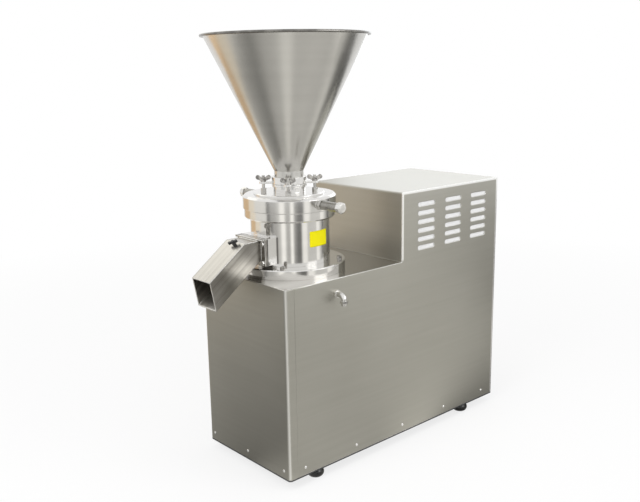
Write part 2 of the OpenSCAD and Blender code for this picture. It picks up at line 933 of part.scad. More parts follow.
// Square hollow post between two heights
module post(x, y, low, high) {
  translate([x, y, low])
    difference() {
      translate([-post_w / 2, -post_w / 2, 0])
        cube([post_w, post_w, high - low]);
      translate([-post_w / 2 + post_wall, -post_w / 2 + post_wall, -cut])
        cube([post_w - 2 * post_wall, post_w - 2 * post_wall, high - low + cut]);
    }
}

// Welded stand that carries the mill head and its bearing housing
module mill_stand() {
  half_w = inner_x - stand_gap;
  low_y = front_y + sheet_t + stand_gap;
  high_y = hood_y - stand_gap;
  color(dark_paint)
    difference() {
      union() {
        translate([-half_w, low_y, z_stand])
          cube([2 * half_w, high_y - low_y, stand_t]);
        for (s = [-1, 1], y = [low_y + post_w / 2, high_y - post_w / 2])
          post(s * (half_w - post_w / 2), y, z_tray, z_stand);
      }
      translate([0, mill_y, z_stand - cut])
        cylinder(r = spigot_r + fit, h = stand_t + 2 * cut);
      for (a = diagonals) {
        on_mill(a + disc_bolt_turn, disc_bolt_circle, z_stand - cut)
          cylinder(r = mill_bolt_r + fit, h = stand_t + 2 * cut);
        on_mill(a, bearing_bolt_circle, z_stand - cut)
          cylinder(r = mill_bolt_r + fit, h = stand_t);
      }
    }
}

// Welded stand that carries the motor, slotted for belt tension
module motor_stand() {
  half_w = motor_flange_r + 6;
  slot_w = 2 * (motor_bolt_r + fit);
  color(dark_paint)
    difference() {
      union() {
        translate([-half_w, motor_y - half_w, motor_plate_z])
          cube([2 * half_w, 2 * half_w, stand_t]);
        for (s = [-1, 1], t = [-1, 1])
          post(s * (half_w - post_w / 2), motor_y + t * (half_w - post_w / 2), z_tray, motor_plate_z);
      }
      translate([0, motor_y, motor_plate_z - cut])
        cylinder(r = motor_shaft_r + shaft_clear, h = stand_t + 2 * cut);
      for (a = diagonals)
        on_motor(a, motor_plate_z + stand_t / 2)
          rotate([0, 90, 0])
            slot_cutter(slot_w + 2 * tension_travel, slot_w, stand_t + 2 * cut);
    }
}

// Thick disc between the deck and the mill housing
module base_disc() {
  color(polished)
    translate([0, mill_y, 0])
      difference() {
        rotate_extrude()
          polygon([[spigot_r + fit, z_deck], [disc_r, z_deck], [disc_r, z_body - 2],
            [disc_r - 2, z_body], [spigot_r + fit, z_body]]);
        translate([0, -mill_y, 0])
          for (a = diagonals) {
            on_mill(a + disc_bolt_turn, disc_bolt_circle, z_deck - cut)
              cylinder(r = mill_bolt_r + fit, h = disc_t + 2 * cut);
            on_mill(a, housing_screw_circle, z_deck - cut)
              cylinder(r = mill_bolt_r + fit, h = disc_t + 2 * cut);
            on_mill(a, housing_screw_circle, z_deck - cut)
              cylinder(r = mill_bolt_head_r + head_clear, h = mill_bolt_head_h + cut);
          }
      }
}

// Bolts of the base disc, of the housing from below, and of the bearing housing
module mill_bolts() {
  housing_shank = disc_t - mill_bolt_head_h + bolt_depth;
  bearing_shank = bearing_flange_t + stand_t - 2 * cut;
  color(polished)
    for (a = diagonals) {
      on_mill(a + disc_bolt_turn, disc_bolt_circle, z_body)
        socket_bolt(mill_bolt_r, mill_bolt_head_r, mill_bolt_head_h, disc_t + sheet_t + stand_t);
      on_mill(a, housing_screw_circle, z_deck + mill_bolt_head_h)
        rotate([180, 0, 0])
          socket_bolt(mill_bolt_r, mill_bolt_head_r, mill_bolt_head_h - fit, housing_shank);
      on_mill(a, bearing_bolt_circle, z_stand - bearing_flange_t)
        rotate([180, 0, 0])
          socket_bolt(mill_bolt_r, mill_bolt_head_r, mill_bolt_head_h, bearing_shank);
    }
}

// Mill housing: barrel, collar, neck and outlet block around the discharge chamber
module mill_housing() {
  bore_r = stator_r + slide_gap;
  chamber_r = bore_r + 3;
  z_floor = z_body + housing_floor_t;
  z_chamber_top = z_outlet_top + 3;
  seal_r = seal_seat_r + seal_wall;
  color(polished)
    difference() {
      union() {
        translate([0, mill_y, 0])
          rotate_extrude()
            polygon([[0, z_body], [housing_r, z_body], [housing_r, z_collar],
              [collar_r - collar_chamfer, z_collar], [collar_r, z_collar + collar_chamfer],
              [collar_r, z_ring], [neck_r, z_ring], [neck_r, z_neck_top], [0, z_neck_top]]);
        translate([-flange_x, outlet_y, z_flange])
          cube([2 * flange_x, outlet_reach, z_flange_top - z_flange]);
      }
      translate([0, mill_y, 0]) {
        rod(seal_r + fit, z_body - cut, z_floor + cut);
        rod(chamber_r, z_floor, z_chamber_top);
        rod(bore_r, z_chamber_top - cut, z_neck_top + cut);
      }
      translate([-passage_x, outlet_y - cut, z_outlet])
        cube([2 * passage_x, outlet_reach + cut, outlet_h]);
      for (a = diagonals)
        on_mill(a, housing_screw_circle, z_body - cut)
          cylinder(r = mill_bolt_r + fit, h = bolt_depth + cut + fit);
      flange_bolt_holes(outlet_y - cut, bolt_depth + 2 * cut);
      lever_screw_hole();
      guide_screw_hole();
    }
}

// Cutters for the four flange screws, running back from a place along the machine
module flange_bolt_holes(low_y, depth) {
  for (p = flange_bolt_places)
    translate([p.x, low_y, p.y])
      rotate([-90, 0, 0])
        cylinder(r = flange_bolt_r + fit, h = depth);
}

flange_bolt_heights = [flange_bolt_low, flange_bolt_high];
flange_bolt_places = [for (x = [-flange_bolt_x, flange_bolt_x], z = flange_bolt_heights) [x, z]];

// Gap setting ring that is turned by its handles to set the milling gap
module adjusting_ring() {
  bottom = z_ring + slide_gap;
  step = z_neck_top + slide_gap;
  color(polished)
    difference() {
      translate([0, mill_y, 0])
        rotate_extrude()
          polygon([[neck_r + slide_gap, bottom], [ring_r - 1, bottom], [ring_r, bottom + 1],
            [ring_r, z_ring_top - ring_bevel], [ring_r - ring_bevel, z_ring_top],
            [cover_r + slide_gap, z_ring_top], [cover_r + slide_gap, step], [neck_r + slide_gap, step]]);
      for (a = [90, 270])
        on_mill(a, ring_r + cut, z_handle)
          facing_out(a)
            rod(handle_stud_r + fit, -handle_stud_l - 2 * cut, cut);
    }
}

// Handle: threaded root, lock nut seat and round grip
module handle(angle) {
  grip_low = handle_nut_t;
  grip_high = grip_low + grip_l;
  on_mill(angle, ring_r, z_handle)
    facing_out(angle)
      color(polished)
        rotate_extrude()
          polygon([[0, -handle_stud_l], [handle_stud_r, -handle_stud_l], [handle_stud_r, grip_low],
            [grip_r - 2, grip_low], [grip_r, grip_low + 3], [grip_r, grip_high],
            [handle_stud_r, grip_high], [handle_stud_r, grip_high + cap_l / 2],
            [0, grip_high + cap_l / 2]]);
}

// Eight-sided caps with rounded ends on the handles
module handle_caps() {
  color(polished)
    for (a = [90, 270])
      on_mill(a, ring_r + handle_nut_t + grip_l, z_handle)
        facing_out(a)
          difference() {
            intersection() {
              cylinder(r = cap_r, h = cap_l, $fn = 8);
              rotate_extrude()
                polygon([[0, 0], [cap_r - 1.5, 0], [cap_r, 1.5], [cap_r, cap_l - 4],
                  [cap_r - 4, cap_l], [0, cap_l]]);
            }
            rod(handle_stud_r + fit, -cut, cap_l / 2 + fit);
          }
}

module handle_nuts() {
  color(polished)
    for (a = [90, 270])
      on_mill(a, ring_r, z_handle)
        facing_out(a)
          hex_nut(handle_nut_r, handle_stud_r + fit, handle_nut_t);
}

// Feed cover that screws into the ring, with the inlet neck
module feed_cover() {
  lip_low = z_inlet_top - inlet_lip_t;
  color(polished)
    difference() {
      translate([0, mill_y, 0])
        rotate_extrude()
          polygon([[inlet_bore_r, z_cover], [cover_r, z_cover], [cover_r, z_cover_top - 2],
            [cover_r - 2, z_cover_top], [inlet_r, z_cover_top], [inlet_r, lip_low],
            [flange_r, lip_low], [flange_r, z_inlet_top], [inlet_bore_r, z_inlet_top]]);
      for (i = [0:3])
        on_mill(stud_angle + 90 * i, stud_circle_r, z_cover_top - stud_depth)
          cylinder(r = stud_r + fit, h = stud_depth + cut);
      for (a = diagonals)
        on_mill(a, stator_screw_circle, z_cover - cut)
          cylinder(r = stator_screw_r + fit, h = bolt_depth + cut);
    }
}

stator_screw_r = 3;
stator_screw_circle = stator_r - 8;
stator_head_h = 6;
stator_head_r = 5;
guide_r = 4;
guide_angle = 180;
z_guide = (z_stator + z_collar) / 2;

// Slanted grooves along a cone around the spindle axis, centred on its surface
module tooth_grooves(surface_gap, lean_sign) {
  for (i = [0:tooth_count - 1])
    rotate([0, 0, i * 360 / tooth_count])
      translate([(rotor_r + rotor_top_r) / 2 + surface_gap, 0, z_rotor + rotor_h / 2])
        rotate([0, -rotor_lean, 0])
          rotate([lean_sign * tooth_slant, 0, 0])
            cube([2 * tooth_depth, tooth_w, 2 * rotor_h], center = true);
}

// Fixed toothed ring, hung from the feed cover
module stator() {
  z_lip = z_cover - stator_lip;
  color(steel)
    difference() {
      translate([0, mill_y, 0])
        difference() {
          rotate_extrude()
            polygon([[rotor_at(z_stator) + mill_gap, z_stator], [stator_r, z_stator],
              [stator_r, z_cover], [inlet_bore_r, z_cover], [inlet_bore_r, z_lip],
              [rotor_at(z_lip) + mill_gap, z_lip]]);
          intersection() {
            tooth_grooves(mill_gap, -1);
            rod(stator_r, z_stator - cut, z_lip - 2);
          }
        }
      for (a = diagonals) {
        on_mill(a, stator_screw_circle, z_stator - cut)
          cylinder(r = stator_screw_r + fit, h = z_cover - z_stator + 2 * cut);
        on_mill(a, stator_screw_circle, z_stator - cut)
          cylinder(r = stator_head_r + fit, h = stator_head_h + cut);
      }
      on_mill(guide_angle, stator_r, z_guide)
        cube([2 * (guide_r + slide_gap), guide_slot_l, 2 * (guide_r + guide_travel)], center = true);
    }
}

module stator_screws() {
  color(steel)
    for (a = diagonals)
      on_mill(a, stator_screw_circle, z_stator + stator_head_h)
        rotate([180, 0, 0])
          socket_bolt(stator_screw_r, stator_head_r, stator_head_h - head_sink,
            z_cover - z_stator - stator_head_h + bolt_depth - cut);
}

// Screw through the housing that keeps the stator from turning while it slides
module guide_screw() {
  reach = housing_r - stator_r + 4;
  color(steel)
    on_mill(guide_angle, housing_r, z_guide)
      facing_out(guide_angle) {
        rod(guide_r, -reach, 0);
        cylinder(r = 1.7 * guide_r, h = 5, $fn = 6);
      }
}

module guide_screw_hole() {
  on_mill(guide_angle, housing_r, z_guide)
    facing_out(guide_angle)
      rod(guide_r + fit, -housing_r + stator_r - cut, 2 * cut);
}

// Toothed cone on the spindle
module rotor() {
  color(steel)
    translate([0, mill_y, 0])
      difference() {
        rotate_extrude()
          polygon([[rotor_seat_r + fit, z_rotor], [rotor_r, z_rotor], [rotor_top_r, z_rotor_top],
            [rotor_seat_r + fit, z_rotor_top]]);
        tooth_grooves(0, 1);
      }
}

// Cap nut of the rotor with three slanted feed blades
module feed_impeller() {
  z_tip = z_rotor_top + impeller_h;
  hub_r = rotor_seat_r + 3;
  blade_h = 16;
  color(steel)
    translate([0, mill_y, 0])
      difference() {
        union() {
          rotate_extrude()
            polygon([[0, z_rotor_top], [hub_r, z_rotor_top], [hub_r, z_rotor_top + nose_l],
              [hub_r * 0.8, z_tip - 6], [hub_r * 0.4, z_tip], [0, z_tip]]);
          intersection() {
            for (i = [0:2])
              rotate([0, 0, 120 * i])
                translate([impeller_r / 2, 0, z_rotor_top + blade_h / 2 + 3])
                  rotate([35, 0, 0])
                    cube([impeller_r, 4, blade_h], center = true);
            rod(impeller_r, z_rotor_top, z_tip);
          }
        }
        rod(nose_r + fit, z_rotor_top - cut, z_rotor_top + nose_l + fit);
      }
}

// Stepped shaft from the pulley up to the impeller
module spindle() {
  color(steel)
    translate([0, mill_y, 0])
      rotate_extrude()
        polygon([[0, pulley_z - 6], [pulley_seat_r, pulley_z - 6], [pulley_seat_r, z_pulley_top],
          [bearing_r - 1, z_pulley_top], [bearing_r - 1, z_low_bearing],
          [bearing_r, z_low_bearing], [bearing_r, z_low_bearing + bearing_w],
          [spindle_r, z_low_bearing + bearing_w], [spindle_r, z_high_bearing],
          [bearing_r, z_high_bearing], [bearing_r, z_deck],
          [seal_seat_r, z_deck], [seal_seat_r, z_rotor],
          [rotor_seat_r, z_rotor], [rotor_seat_r, z_rotor_top],
          [nose_r, z_rotor_top], [nose_r, z_rotor_top + nose_l], [0, z_rotor_top + nose_l]]);
}

// Bearing housing that hangs from the stand and centres the base disc
module bearing_housing() {
  shoulder_r = bearing_od / 2 - 4;
  spigot_top = z_body - 2;
  color(dark_paint)
    difference() {
      translate([0, mill_y, 0])
        rotate_extrude()
          polygon([[shoulder_r, z_low_bearing + bearing_w], [bearing_bore_r, z_low_bearing + bearing_w],
            [bearing_bore_r, z_bearing_housing], [bearing_housing_r, z_bearing_housing],
            [bearing_housing_r, z_stand - bearing_flange_t], [bearing_flange_r, z_stand - bearing_flange_t],
            [bearing_flange_r, z_stand], [spigot_r, z_stand], [spigot_r, spigot_top],
            [bearing_bore_r, spigot_top], [bearing_bore_r, z_high_bearing], [shoulder_r, z_high_bearing]]);
      for (a = diagonals)
        on_mill(a, bearing_bolt_circle, z_stand - bearing_flange_t - cut)
          cylinder(r = mill_bolt_r + fit, h = bearing_flange_t + 2 * cut);
    }
}

// Rings that keep the bearings in the housing
module bearing_caps() {
  bore_r = spindle_r - 3;
  color(steel)
    translate([0, mill_y, 0]) {
      tube(bearing_housing_r, bore_r, z_low_cap, z_bearing_housing);
      tube(bearing_bore_r - 2 * fit, bore_r, z_high_bearing + bearing_w, z_deck + hole_margin);
    }
}

bearing_places = [z_low_bearing, z_high_bearing];

// Grooved race between two radii, for a bearing whose lower face is at z
module race(inner, outer, z) {
  translate([0, mill_y, z])
    rotate_extrude()
      difference() {
        translate([inner, 0])
          square([outer - inner, bearing_w]);
        translate([ball_circle, bearing_w / 2])
          circle(ball_r + race_gap);
      }
}

// Outer rings and balls of the two spindle bearings
module ball_bearings() {
  color(polished)
    for (z = bearing_places) {
      race(bearing_od / 2 - race_wall, bearing_od / 2, z);
      for (i = [0:ball_count - 1])
        on_mill(i * 360 / ball_count, ball_circle, z + bearing_w / 2)
          sphere(ball_r);
    }
}

module bearing_inner_rings() {
  color(polished)
    for (z = bearing_places)
      race(bearing_r + fit, bearing_r + race_wall, z);
}

// Fixed half of the spindle seal, set in the housing's floor
module seal_seat() {
  color(seal_green)
    translate([0, mill_y, 0])
      tube(seal_seat_r + seal_wall, seal_seat_r + slide_gap, z_body + seal_rise, z_body + housing_floor_t);
}

// Running half of the spindle seal
module seal_ring() {
  low = z_body + housing_floor_t + slide_gap;
  color(steel)
    translate([0, mill_y, 0])
      tube(seal_seat_r + 9, seal_seat_r + fit, low, low + seal_h);
}

// Half profile of a grooved pulley: rim with one V groove for each belt
module pulley_profile(pitch_r, bore_r) {
  rim = pitch_r + belt_h / 2;
  depth = belt_h + 3;
  mouth = belt_w / 2 + belt_gap;
  foot = mouth - depth * tan(belt_angle);
  difference() {
    translate([bore_r, pulley_z])
      square([rim - bore_r, pulley_h]);
    for (i = [0:belt_count - 1])
      translate([rim, belt_z(i)])
        polygon([[-depth, -foot], [0, -mouth], [cut, -mouth], [cut, mouth], [0, mouth], [-depth, foot]]);
  }
}

function belt_z(i) = pulley_z + pulley_h / 2 + (i - (belt_count - 1) / 2) * belt_pitch;

module driven_pulley() {
  color(steel)
    translate([0, mill_y, 0])
      rotate_extrude()
        pulley_profile(driven_r, pulley_seat_r + fit);
}

module drive_pulley() {
  color(steel)
    translate([0, motor_y, 0])
      rotate_extrude()
        pulley_profile(drive_r, motor_shaft_r + fit);
}

// Cross-section of a belt at a pitch radius from its pulley's axis
module belt_section(pitch_r, inset) {
  back = pitch_r + belt_h / 2 - inset;
  front = pitch_r - belt_h / 2 + inset;
  back_w = belt_w / 2 - inset;
  front_w = belt_w / 2 - belt_h * tan(belt_angle) - inset;
  polygon([[front, -front_w], [back, -back_w], [back, back_w], [front, front_w]]);
}

// Belts: two wrapped arcs and two straight runs, tangent to both pulleys
module v_belts() {
  lean = asin((drive_r - driven_r) / belt_centres);
  run = belt_centres * cos(lean);
  color(rubber_black)
    for (i = [0:belt_count - 1])
      translate([0, mill_y, belt_z(i)]) {
        rotate([0, 0, 180 + lean])
          rotate_extrude(angle = 180 - 2 * lean)
            belt_section(driven_r, 0);
        translate([0, belt_centres, 0])
          rotate([0, 0, -lean])
            rotate_extrude(angle = 180 + 2 * lean)
              belt_section(drive_r, 0);
        for (s = [-1, 1])
          rotate([0, 0, -s * lean])
            belt_run(s, run);
      }
}

// Straight stretch of belt beside the driven pulley, on the side s
module belt_run(s, length) {
  translate([0, length + belt_lap, 0])
    rotate([90, 0, 0])
      linear_extrude(length + 2 * belt_lap)
        mirror([s < 0 ? 1 : 0, 0])
          belt_section(driven_r, belt_step);
}

// Motor frame: finned barrel with a top end wall
module motor_frame() {
  fin_low = z_motor_frame + fin_start;
  color(motor_blue)
    translate([0, motor_y, 0])
      difference() {
        union() {
          rod(motor_r, z_motor_frame, z_motor_top);
          for (i = [0:fin_count - 1])
            rotate([0, 0, i * 360 / fin_count])
              translate([motor_r - 2, -fin_t / 2, fin_low])
                cube([fin_h + 2, fin_t, z_motor_top - fin_low - fin_start]);
          terminal_box_form();
        }
        rod(motor_core_r + 2 * slide_gap, z_motor_frame - cut, z_motor_top - motor_end_t);
        rod(fan_shaft_r + slide_gap, z_motor_frame, z_motor_top + cut);
      }
}

// Terminal box cast on the motor's rear side
module terminal_box_form() {
  box_w = 100;
  box_h = 90;
  box_reach = 46;
  translate([-box_w / 2, motor_r - 10, (z_motor_frame + z_motor_top - box_h) / 2])
    cube([box_w, fin_h + box_reach, box_h]);
}

// Flanged lower end shield of the motor
module motor_flange() {
  color(motor_blue)
    translate([0, motor_y, 0])
      difference() {
        union() {
          rod(motor_flange_r, z_motor, z_motor_frame);
          rod(motor_core_r - 10, z_motor_frame, z_motor_frame + motor_boss_l);
        }
        rod(motor_shaft_r + slide_gap, z_motor - cut, z_motor_frame + motor_boss_l + cut);
        for (a = diagonals)
          rotate([0, 0, a])
            translate([motor_bolt_circle, 0, 0])
              rod(motor_bolt_r + fit, z_motor - cut, z_motor_frame + cut);
      }
}

// Motor shaft with its rotor core, running down to the drive pulley
module motor_rotor() {
  core_low = z_motor_frame + motor_boss_l + core_gap;
  core_high = z_motor_top - motor_end_t - core_gap;
  color(steel)
    translate([0, motor_y, 0])
      rotate_extrude()
        polygon([[0, pulley_z - 6], [motor_shaft_r, pulley_z - 6], [motor_shaft_r, core_low],
          [motor_core_r, core_low], [motor_core_r, core_high], [fan_shaft_r, core_high],
          [fan_shaft_r, z_fan + fan_blade_h], [0, z_fan + fan_blade_h]]);
}

// Cooling fan on the motor's upper shaft end
module motor_fan() {
  color(rubber_black)
    translate([0, motor_y, 0]) {
      tube(fan_hub_r, fan_shaft_r + fit, z_fan, z_fan + fan_blade_h);
      for (i = [0:fan_blades - 1])
        rotate([0, 0, i * 360 / fan_blades])
          translate([fan_hub_r - 2, -1.5, z_fan])
            cube([fan_r - fan_hub_r + 2, 3, fan_blade_h]);
    }
}

// Sheet cowl over the fan, with a slotted top
module motor_fan_cover() {
  outer = motor_r + fin_h - 4;
  top = z_motor_top + fan_cover_h;
  low = z_motor_top - fin_start + fit;
  slot_w = 8;
  color(motor_blue)
    translate([0, motor_y, 0])
      difference() {
        rod(outer, low, top);
        rod(outer - fan_cover_t, z_motor_top, top - fan_cover_t);
        rod(motor_r + fit, low - cut, z_motor_top + cut);
        for (i = [0:11])
          rotate([0, 0, 30 * i])
            translate([fan_hub_r, -slot_w / 2, top - fan_cover_t - cut])
              cube([fan_r - fan_hub_r, slot_w, fan_cover_t + 2 * cut]);
      }
}

// Motor bolts through the flange and the slotted plate, with nuts below
module motor_bolts() {
  color(steel)
    for (a = diagonals)
      on_motor(a, z_motor_frame) {
        hex_bolt(motor_bolt_r, motor_bolt_head_r, motor_bolt_head_h, motor_flange_t + stand_t);
        translate([0, 0, -motor_flange_t - stand_t - motor_bolt_head_h])
          cylinder(r = motor_bolt_head_r, h = motor_bolt_head_h, $fn = 6);
      }
}

// Studs that stand in the feed cover and hold the hopper
module hopper_studs() {
  color(polished)
    for (i = [0:3])
      on_mill(stud_angle + 90 * i, stud_circle_r, 0)
        rod(stud_r, z_cover_top - stud_depth, z_ears_top + wing_hub_h + stud_tip);
}

module stud_nuts() {
  color(polished)
    for (i = [0:3])
      on_mill(stud_angle + 90 * i, stud_circle_r, z_cover_top)
        hex_nut(stud_nut_r, stud_r + fit, stud_nut_h);
}

// Wing nut: tapered hub with two round-ended wings leaning up and out
module wing_nut(i) {
  wing_r = 6;
  reach = wing_span - wing_r;
  rise = wing_hub_h + 2;
  color(polished)
    on_mill(stud_angle + 90 * i, stud_circle_r, z_ears_top)
      rotate([0, 0, 48])
        difference() {
          union() {
            cylinder(r1 = wing_hub_r, r2 = wing_hub_r - 1.5, h = wing_hub_h);
            rotate([90, 0, 0])
              linear_extrude(wing_t, center = true)
                for (s = [-1, 1]) {
                  translate([s * reach, rise])
                    circle(wing_r);
                  polygon([[0, 1], [s * wing_hub_r * 0.8, 1],
                    [s * (reach + wing_r * 0.8), rise - wing_r * 0.6],
                    [s * (reach - wing_r * 0.6), rise + wing_r * 0.8], [0, wing_hub_h - 1]]);
                }
          }
          rod(stud_r + 2 * fit, -cut, rise + wing_r + cut);
        }
}

// Ring of the hopper with four ears that fit over the studs
module hopper_flange() {
  ear_web_w = 2 * ear_r - 2;
  color(polished)
    difference() {
      union() {
        translate([0, mill_y, 0])
          rod(flange_r, z_ears, z_ears + flange_h);
        translate([0, mill_y, z_ears])
          linear_extrude(ear_t)
            for (i = [0:3])
              rotate([0, 0, stud_angle + 90 * i]) {
                translate([0, -stud_circle_r])
                  circle(ear_r);
                translate([-ear_web_w / 2, -stud_circle_r])
                  square([ear_web_w, stud_circle_r]);
              }
      }
      translate([0, mill_y, 0])
        rod(hopper_neck_r + fit, z_ears - cut, z_ears + flange_h + cut);
      for (i = [0:3])
        on_mill(stud_angle + 90 * i, stud_circle_r, z_ears - cut)
          cylinder(r = stud_r + slide_gap, h = ear_t + 2 * cut);
    }
}

module hopper_gasket() {
  color(felt_white)
    translate([0, mill_y, 0])
      tube(flange_r - 1, inlet_bore_r, z_inlet_top, z_ears);
}

// Spun hopper: straight neck and wide cone of thin sheet
module hopper() {
  cone_lean = atan((cone_rim_r - hopper_neck_r) / cone_h);
  flat_t = hopper_t / cos(cone_lean);
  knee_rise = hopper_t * tan(cone_lean / 2);
  color(stainless)
    translate([0, mill_y, 0])
      rotate_extrude()
        polygon([[hopper_neck_r - hopper_t, z_ears], [hopper_neck_r, z_ears], [hopper_neck_r, z_cone],
          [cone_rim_r, z_rim], [cone_rim_r - flat_t, z_rim],
          [hopper_neck_r - hopper_t, z_cone + knee_rise]]);
}

// Rolled edge around the hopper's rim
module hopper_rim() {
  lean = atan((cone_rim_r - hopper_neck_r) / cone_h);
  bead_x = cone_rim_r - rim_r * tan(lean) + (rim_r + slide_gap) / cos(lean);
  color(stainless)
    translate([0, mill_y, 0])
      rotate_extrude()
        translate([bead_x, z_rim - rim_r])
          circle(rim_r, $fn = 24);
}

module chute_gasket() {
  color(rubber_black)
    difference() {
      translate([-flange_x, outlet_y - chute_gasket_t, z_flange])
        cube([2 * flange_x, chute_gasket_t, z_flange_top - z_flange]);
      translate([-passage_x, outlet_y - chute_gasket_t - cut, z_outlet])
        cube([2 * passage_x, chute_gasket_t + 2 * cut, outlet_h]);
      flange_bolt_holes(outlet_y - chute_gasket_t - cut, chute_gasket_t + 2 * cut);
    }
}

// Chute: flange, cover lip and a sloping rectangular duct that is open at its mouth
module chute() {
  far = mouth_y - chute_reach;
  back = chute_y + chute_flange_t;
  mouth_low = [mouth_y + mouth_l * sin(mouth_tilt), chute_high(mouth_y) - mouth_l * cos(mouth_tilt)];
  color(stainless)
    difference() {
      union() {
        across(chute_w)
          polygon([[back, z_outlet - slope_t], [chute_y, z_outlet - slope_t], mouth_low,
            [mouth_y, chute_high(mouth_y)], [chute_knee(z_chute_top), z_chute_top], [back, z_chute_top]]);
        translate([-flange_x, chute_y, z_flange])
          cube([2 * flange_x, chute_flange_t, z_flange_top - z_flange]);
        translate([-flange_x, chute_y - lip_reach, z_flange_top - lip_plate_t])
          cube([2 * flange_x, lip_reach, lip_plate_t]);
      }
      across(2 * passage_x)
        polygon([[back + cut, z_outlet], [chute_y, z_outlet], [far, chute_low(far) + slope_t],
          [far, chute_high(far) - slope_t], [chute_knee(z_outlet_top + slope_t), z_outlet_top],
          [back + cut, z_outlet_top]]);
      flange_bolt_holes(chute_y - cut, chute_flange_t + 2 * cut);
      on_chute()
        rod(knob_stem_r + fit, -knob_stem_l, cut);
    }
}

// Places children on the chute's sloping top where the knob stands, with +Z square to the slope
module on_chute() {
  translate([knob_x, knob_y, knob_z])
    rotate([chute_slope, 0, 0])
      children();
}

// Hexagon bolts of the chute's flange
module chute_bolts() {
  shank = chute_flange_t + chute_gasket_t + bolt_depth;
  color(polished)
    for (p = flange_bolt_places)
      translate([p.x, chute_y, p.y])
        rotate([90, 0, 0])
          hex_bolt(flange_bolt_r, flange_head_r, flange_head_h, shank);
}

// Black thumb knob in the flange's fourth hole: threaded shank, tapered hub and two wings past the lip
module chute_knob() {
  color(rubber_black)
    on_chute() {
      rod(knob_stem_r, -knob_stem_l, slide_gap + cut);
      translate([0, 0, slide_gap])
        cylinder(r1 = knob_hub_r, r2 = knob_hub_r - 1, h = knob_l - slide_gap);
      translate([0, 0, knob_l - knob_wing_t - cut])
        linear_extrude(knob_wing_t)
          rotate([0, 0, knob_turn]) {
            square([2 * (knob_reach - knob_wing_r), 2 * knob_wing_r - 2], center = true);
            for (s = [-1, 1])
              translate([s * (knob_reach - knob_wing_r), 0])
                circle(knob_wing_r);
          }
    }
}

z_lever = z_collar - lever_drop;
lever_screw_r = 3;

module lever_screw_hole() {
  on_mill(lever_angle, housing_r, z_lever)
    facing_out(lever_angle)
      rod(lever_screw_r + fit, -bolt_depth, 4 * cut);
}

// Lock lever: boss on its screw, with a round arm that hangs down
module lock_lever() {
  low = slide_gap;
  color(polished)
    on_mill(lever_angle, housing_r, z_lever)
      facing_out(lever_angle) {
        rod(lever_screw_r - fit, -bolt_depth + cut, low);
        rod(lever_boss_r, low, low + lever_boss_t);
        translate([0, 0, low + lever_boss_t / 2])
          rotate([90, 0, 0])
            cylinder(r = lever_arm_r, h = lever_l - lever_arm_r);
        translate([0, -lever_l + lever_arm_r, low + lever_boss_t / 2])
          sphere(lever_arm_r);
      }
}

// Water elbow: shank through the side panel, hexagons, bend and a bored end, with the pipe inside
module water_elbow() {
  pipe_in = bearing_housing_r + slide_gap;
  color(polished)
    translate([0, elbow_y, z_elbow]) {
      difference() {
        union() {
          translate([pipe_in, 0, 0])
            rotate([0, 90, 0])
              cylinder(r = pipe_r, h = elbow_x - pipe_in);
          translate([side_x, 0, 0])
            rotate([0, 90, 0])
              cylinder(r = elbow_hex_r, h = elbow_hex_t, $fn = 6);
          translate([elbow_x, 0, -elbow_bend_r])
            rotate([90, 0, 0])
              rotate_extrude(angle = 90)
                translate([elbow_bend_r, 0])
                  circle(pipe_r);
          translate([elbow_x + elbow_bend_r, 0, -elbow_bend_r - elbow_down])
            cylinder(r = pipe_r, h = elbow_down);
          translate([elbow_x + elbow_bend_r, 0, -elbow_bend_r - elbow_hex_t])
            cylinder(r = elbow_hex_r, h = elbow_hex_t, $fn = 6);
        }
        translate([elbow_x + elbow_bend_r, 0, -elbow_bend_r - elbow_down - cut])
          cylinder(r = pipe_bore_r, h = elbow_down + cut);
      }
    }
}

base_plate();
front_panel();
side_panel(1);  // side_panel_right
side_panel(-1);  // side_panel_left
deck_plate();
hood_cover();
rear_panel();
cabinet_rivets();
cable_gland();
vent_felts();
feet();
foot_screws();
mill_stand();
motor_stand();
base_disc();
mill_bolts();
mill_housing();
adjusting_ring();
handle(90);  // handle_right
handle(270);  // handle_left
handle_caps();
handle_nuts();
feed_cover();
stator();
stator_screws();
guide_screw();
hopper_studs();
stud_nuts();
wing_nut(0);  // wing_nut_1
wing_nut(1);  // wing_nut_2
wing_nut(2);  // wing_nut_3
wing_nut(3);  // wing_nut_4
hopper();
hopper_rim();
hopper_flange();
hopper_gasket();
rotor();
feed_impeller();
spindle();
bearing_housing();
bearing_caps();
ball_bearings();
bearing_inner_rings();
seal_seat();
seal_ring();
driven_pulley();
drive_pulley();
v_belts();
motor_frame();
motor_flange();
motor_rotor();
motor_fan();
motor_fan_cover();
motor_bolts();
chute();
chute_gasket();
chute_bolts();
chute_knob();
lock_lever();
water_elbow();
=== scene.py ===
# %% [markdown]
# # Dressing a colloid mill
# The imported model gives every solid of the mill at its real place, in metres.
# This lesson keeps those solids, softens their edges, and gives each one the finish of the real
# machine: brushed sheet for the cabinet, turned and polished steel for the mill head, rubber, felt,
# paint and plastic. A camera, a floor and soft lamps come first, so that every later cell can be
# looked at right away. Near the end, the feet and the vent slots are shaped anew.

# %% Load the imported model
import json
import math

import bmesh
import bpy
from mathutils import Matrix, Vector


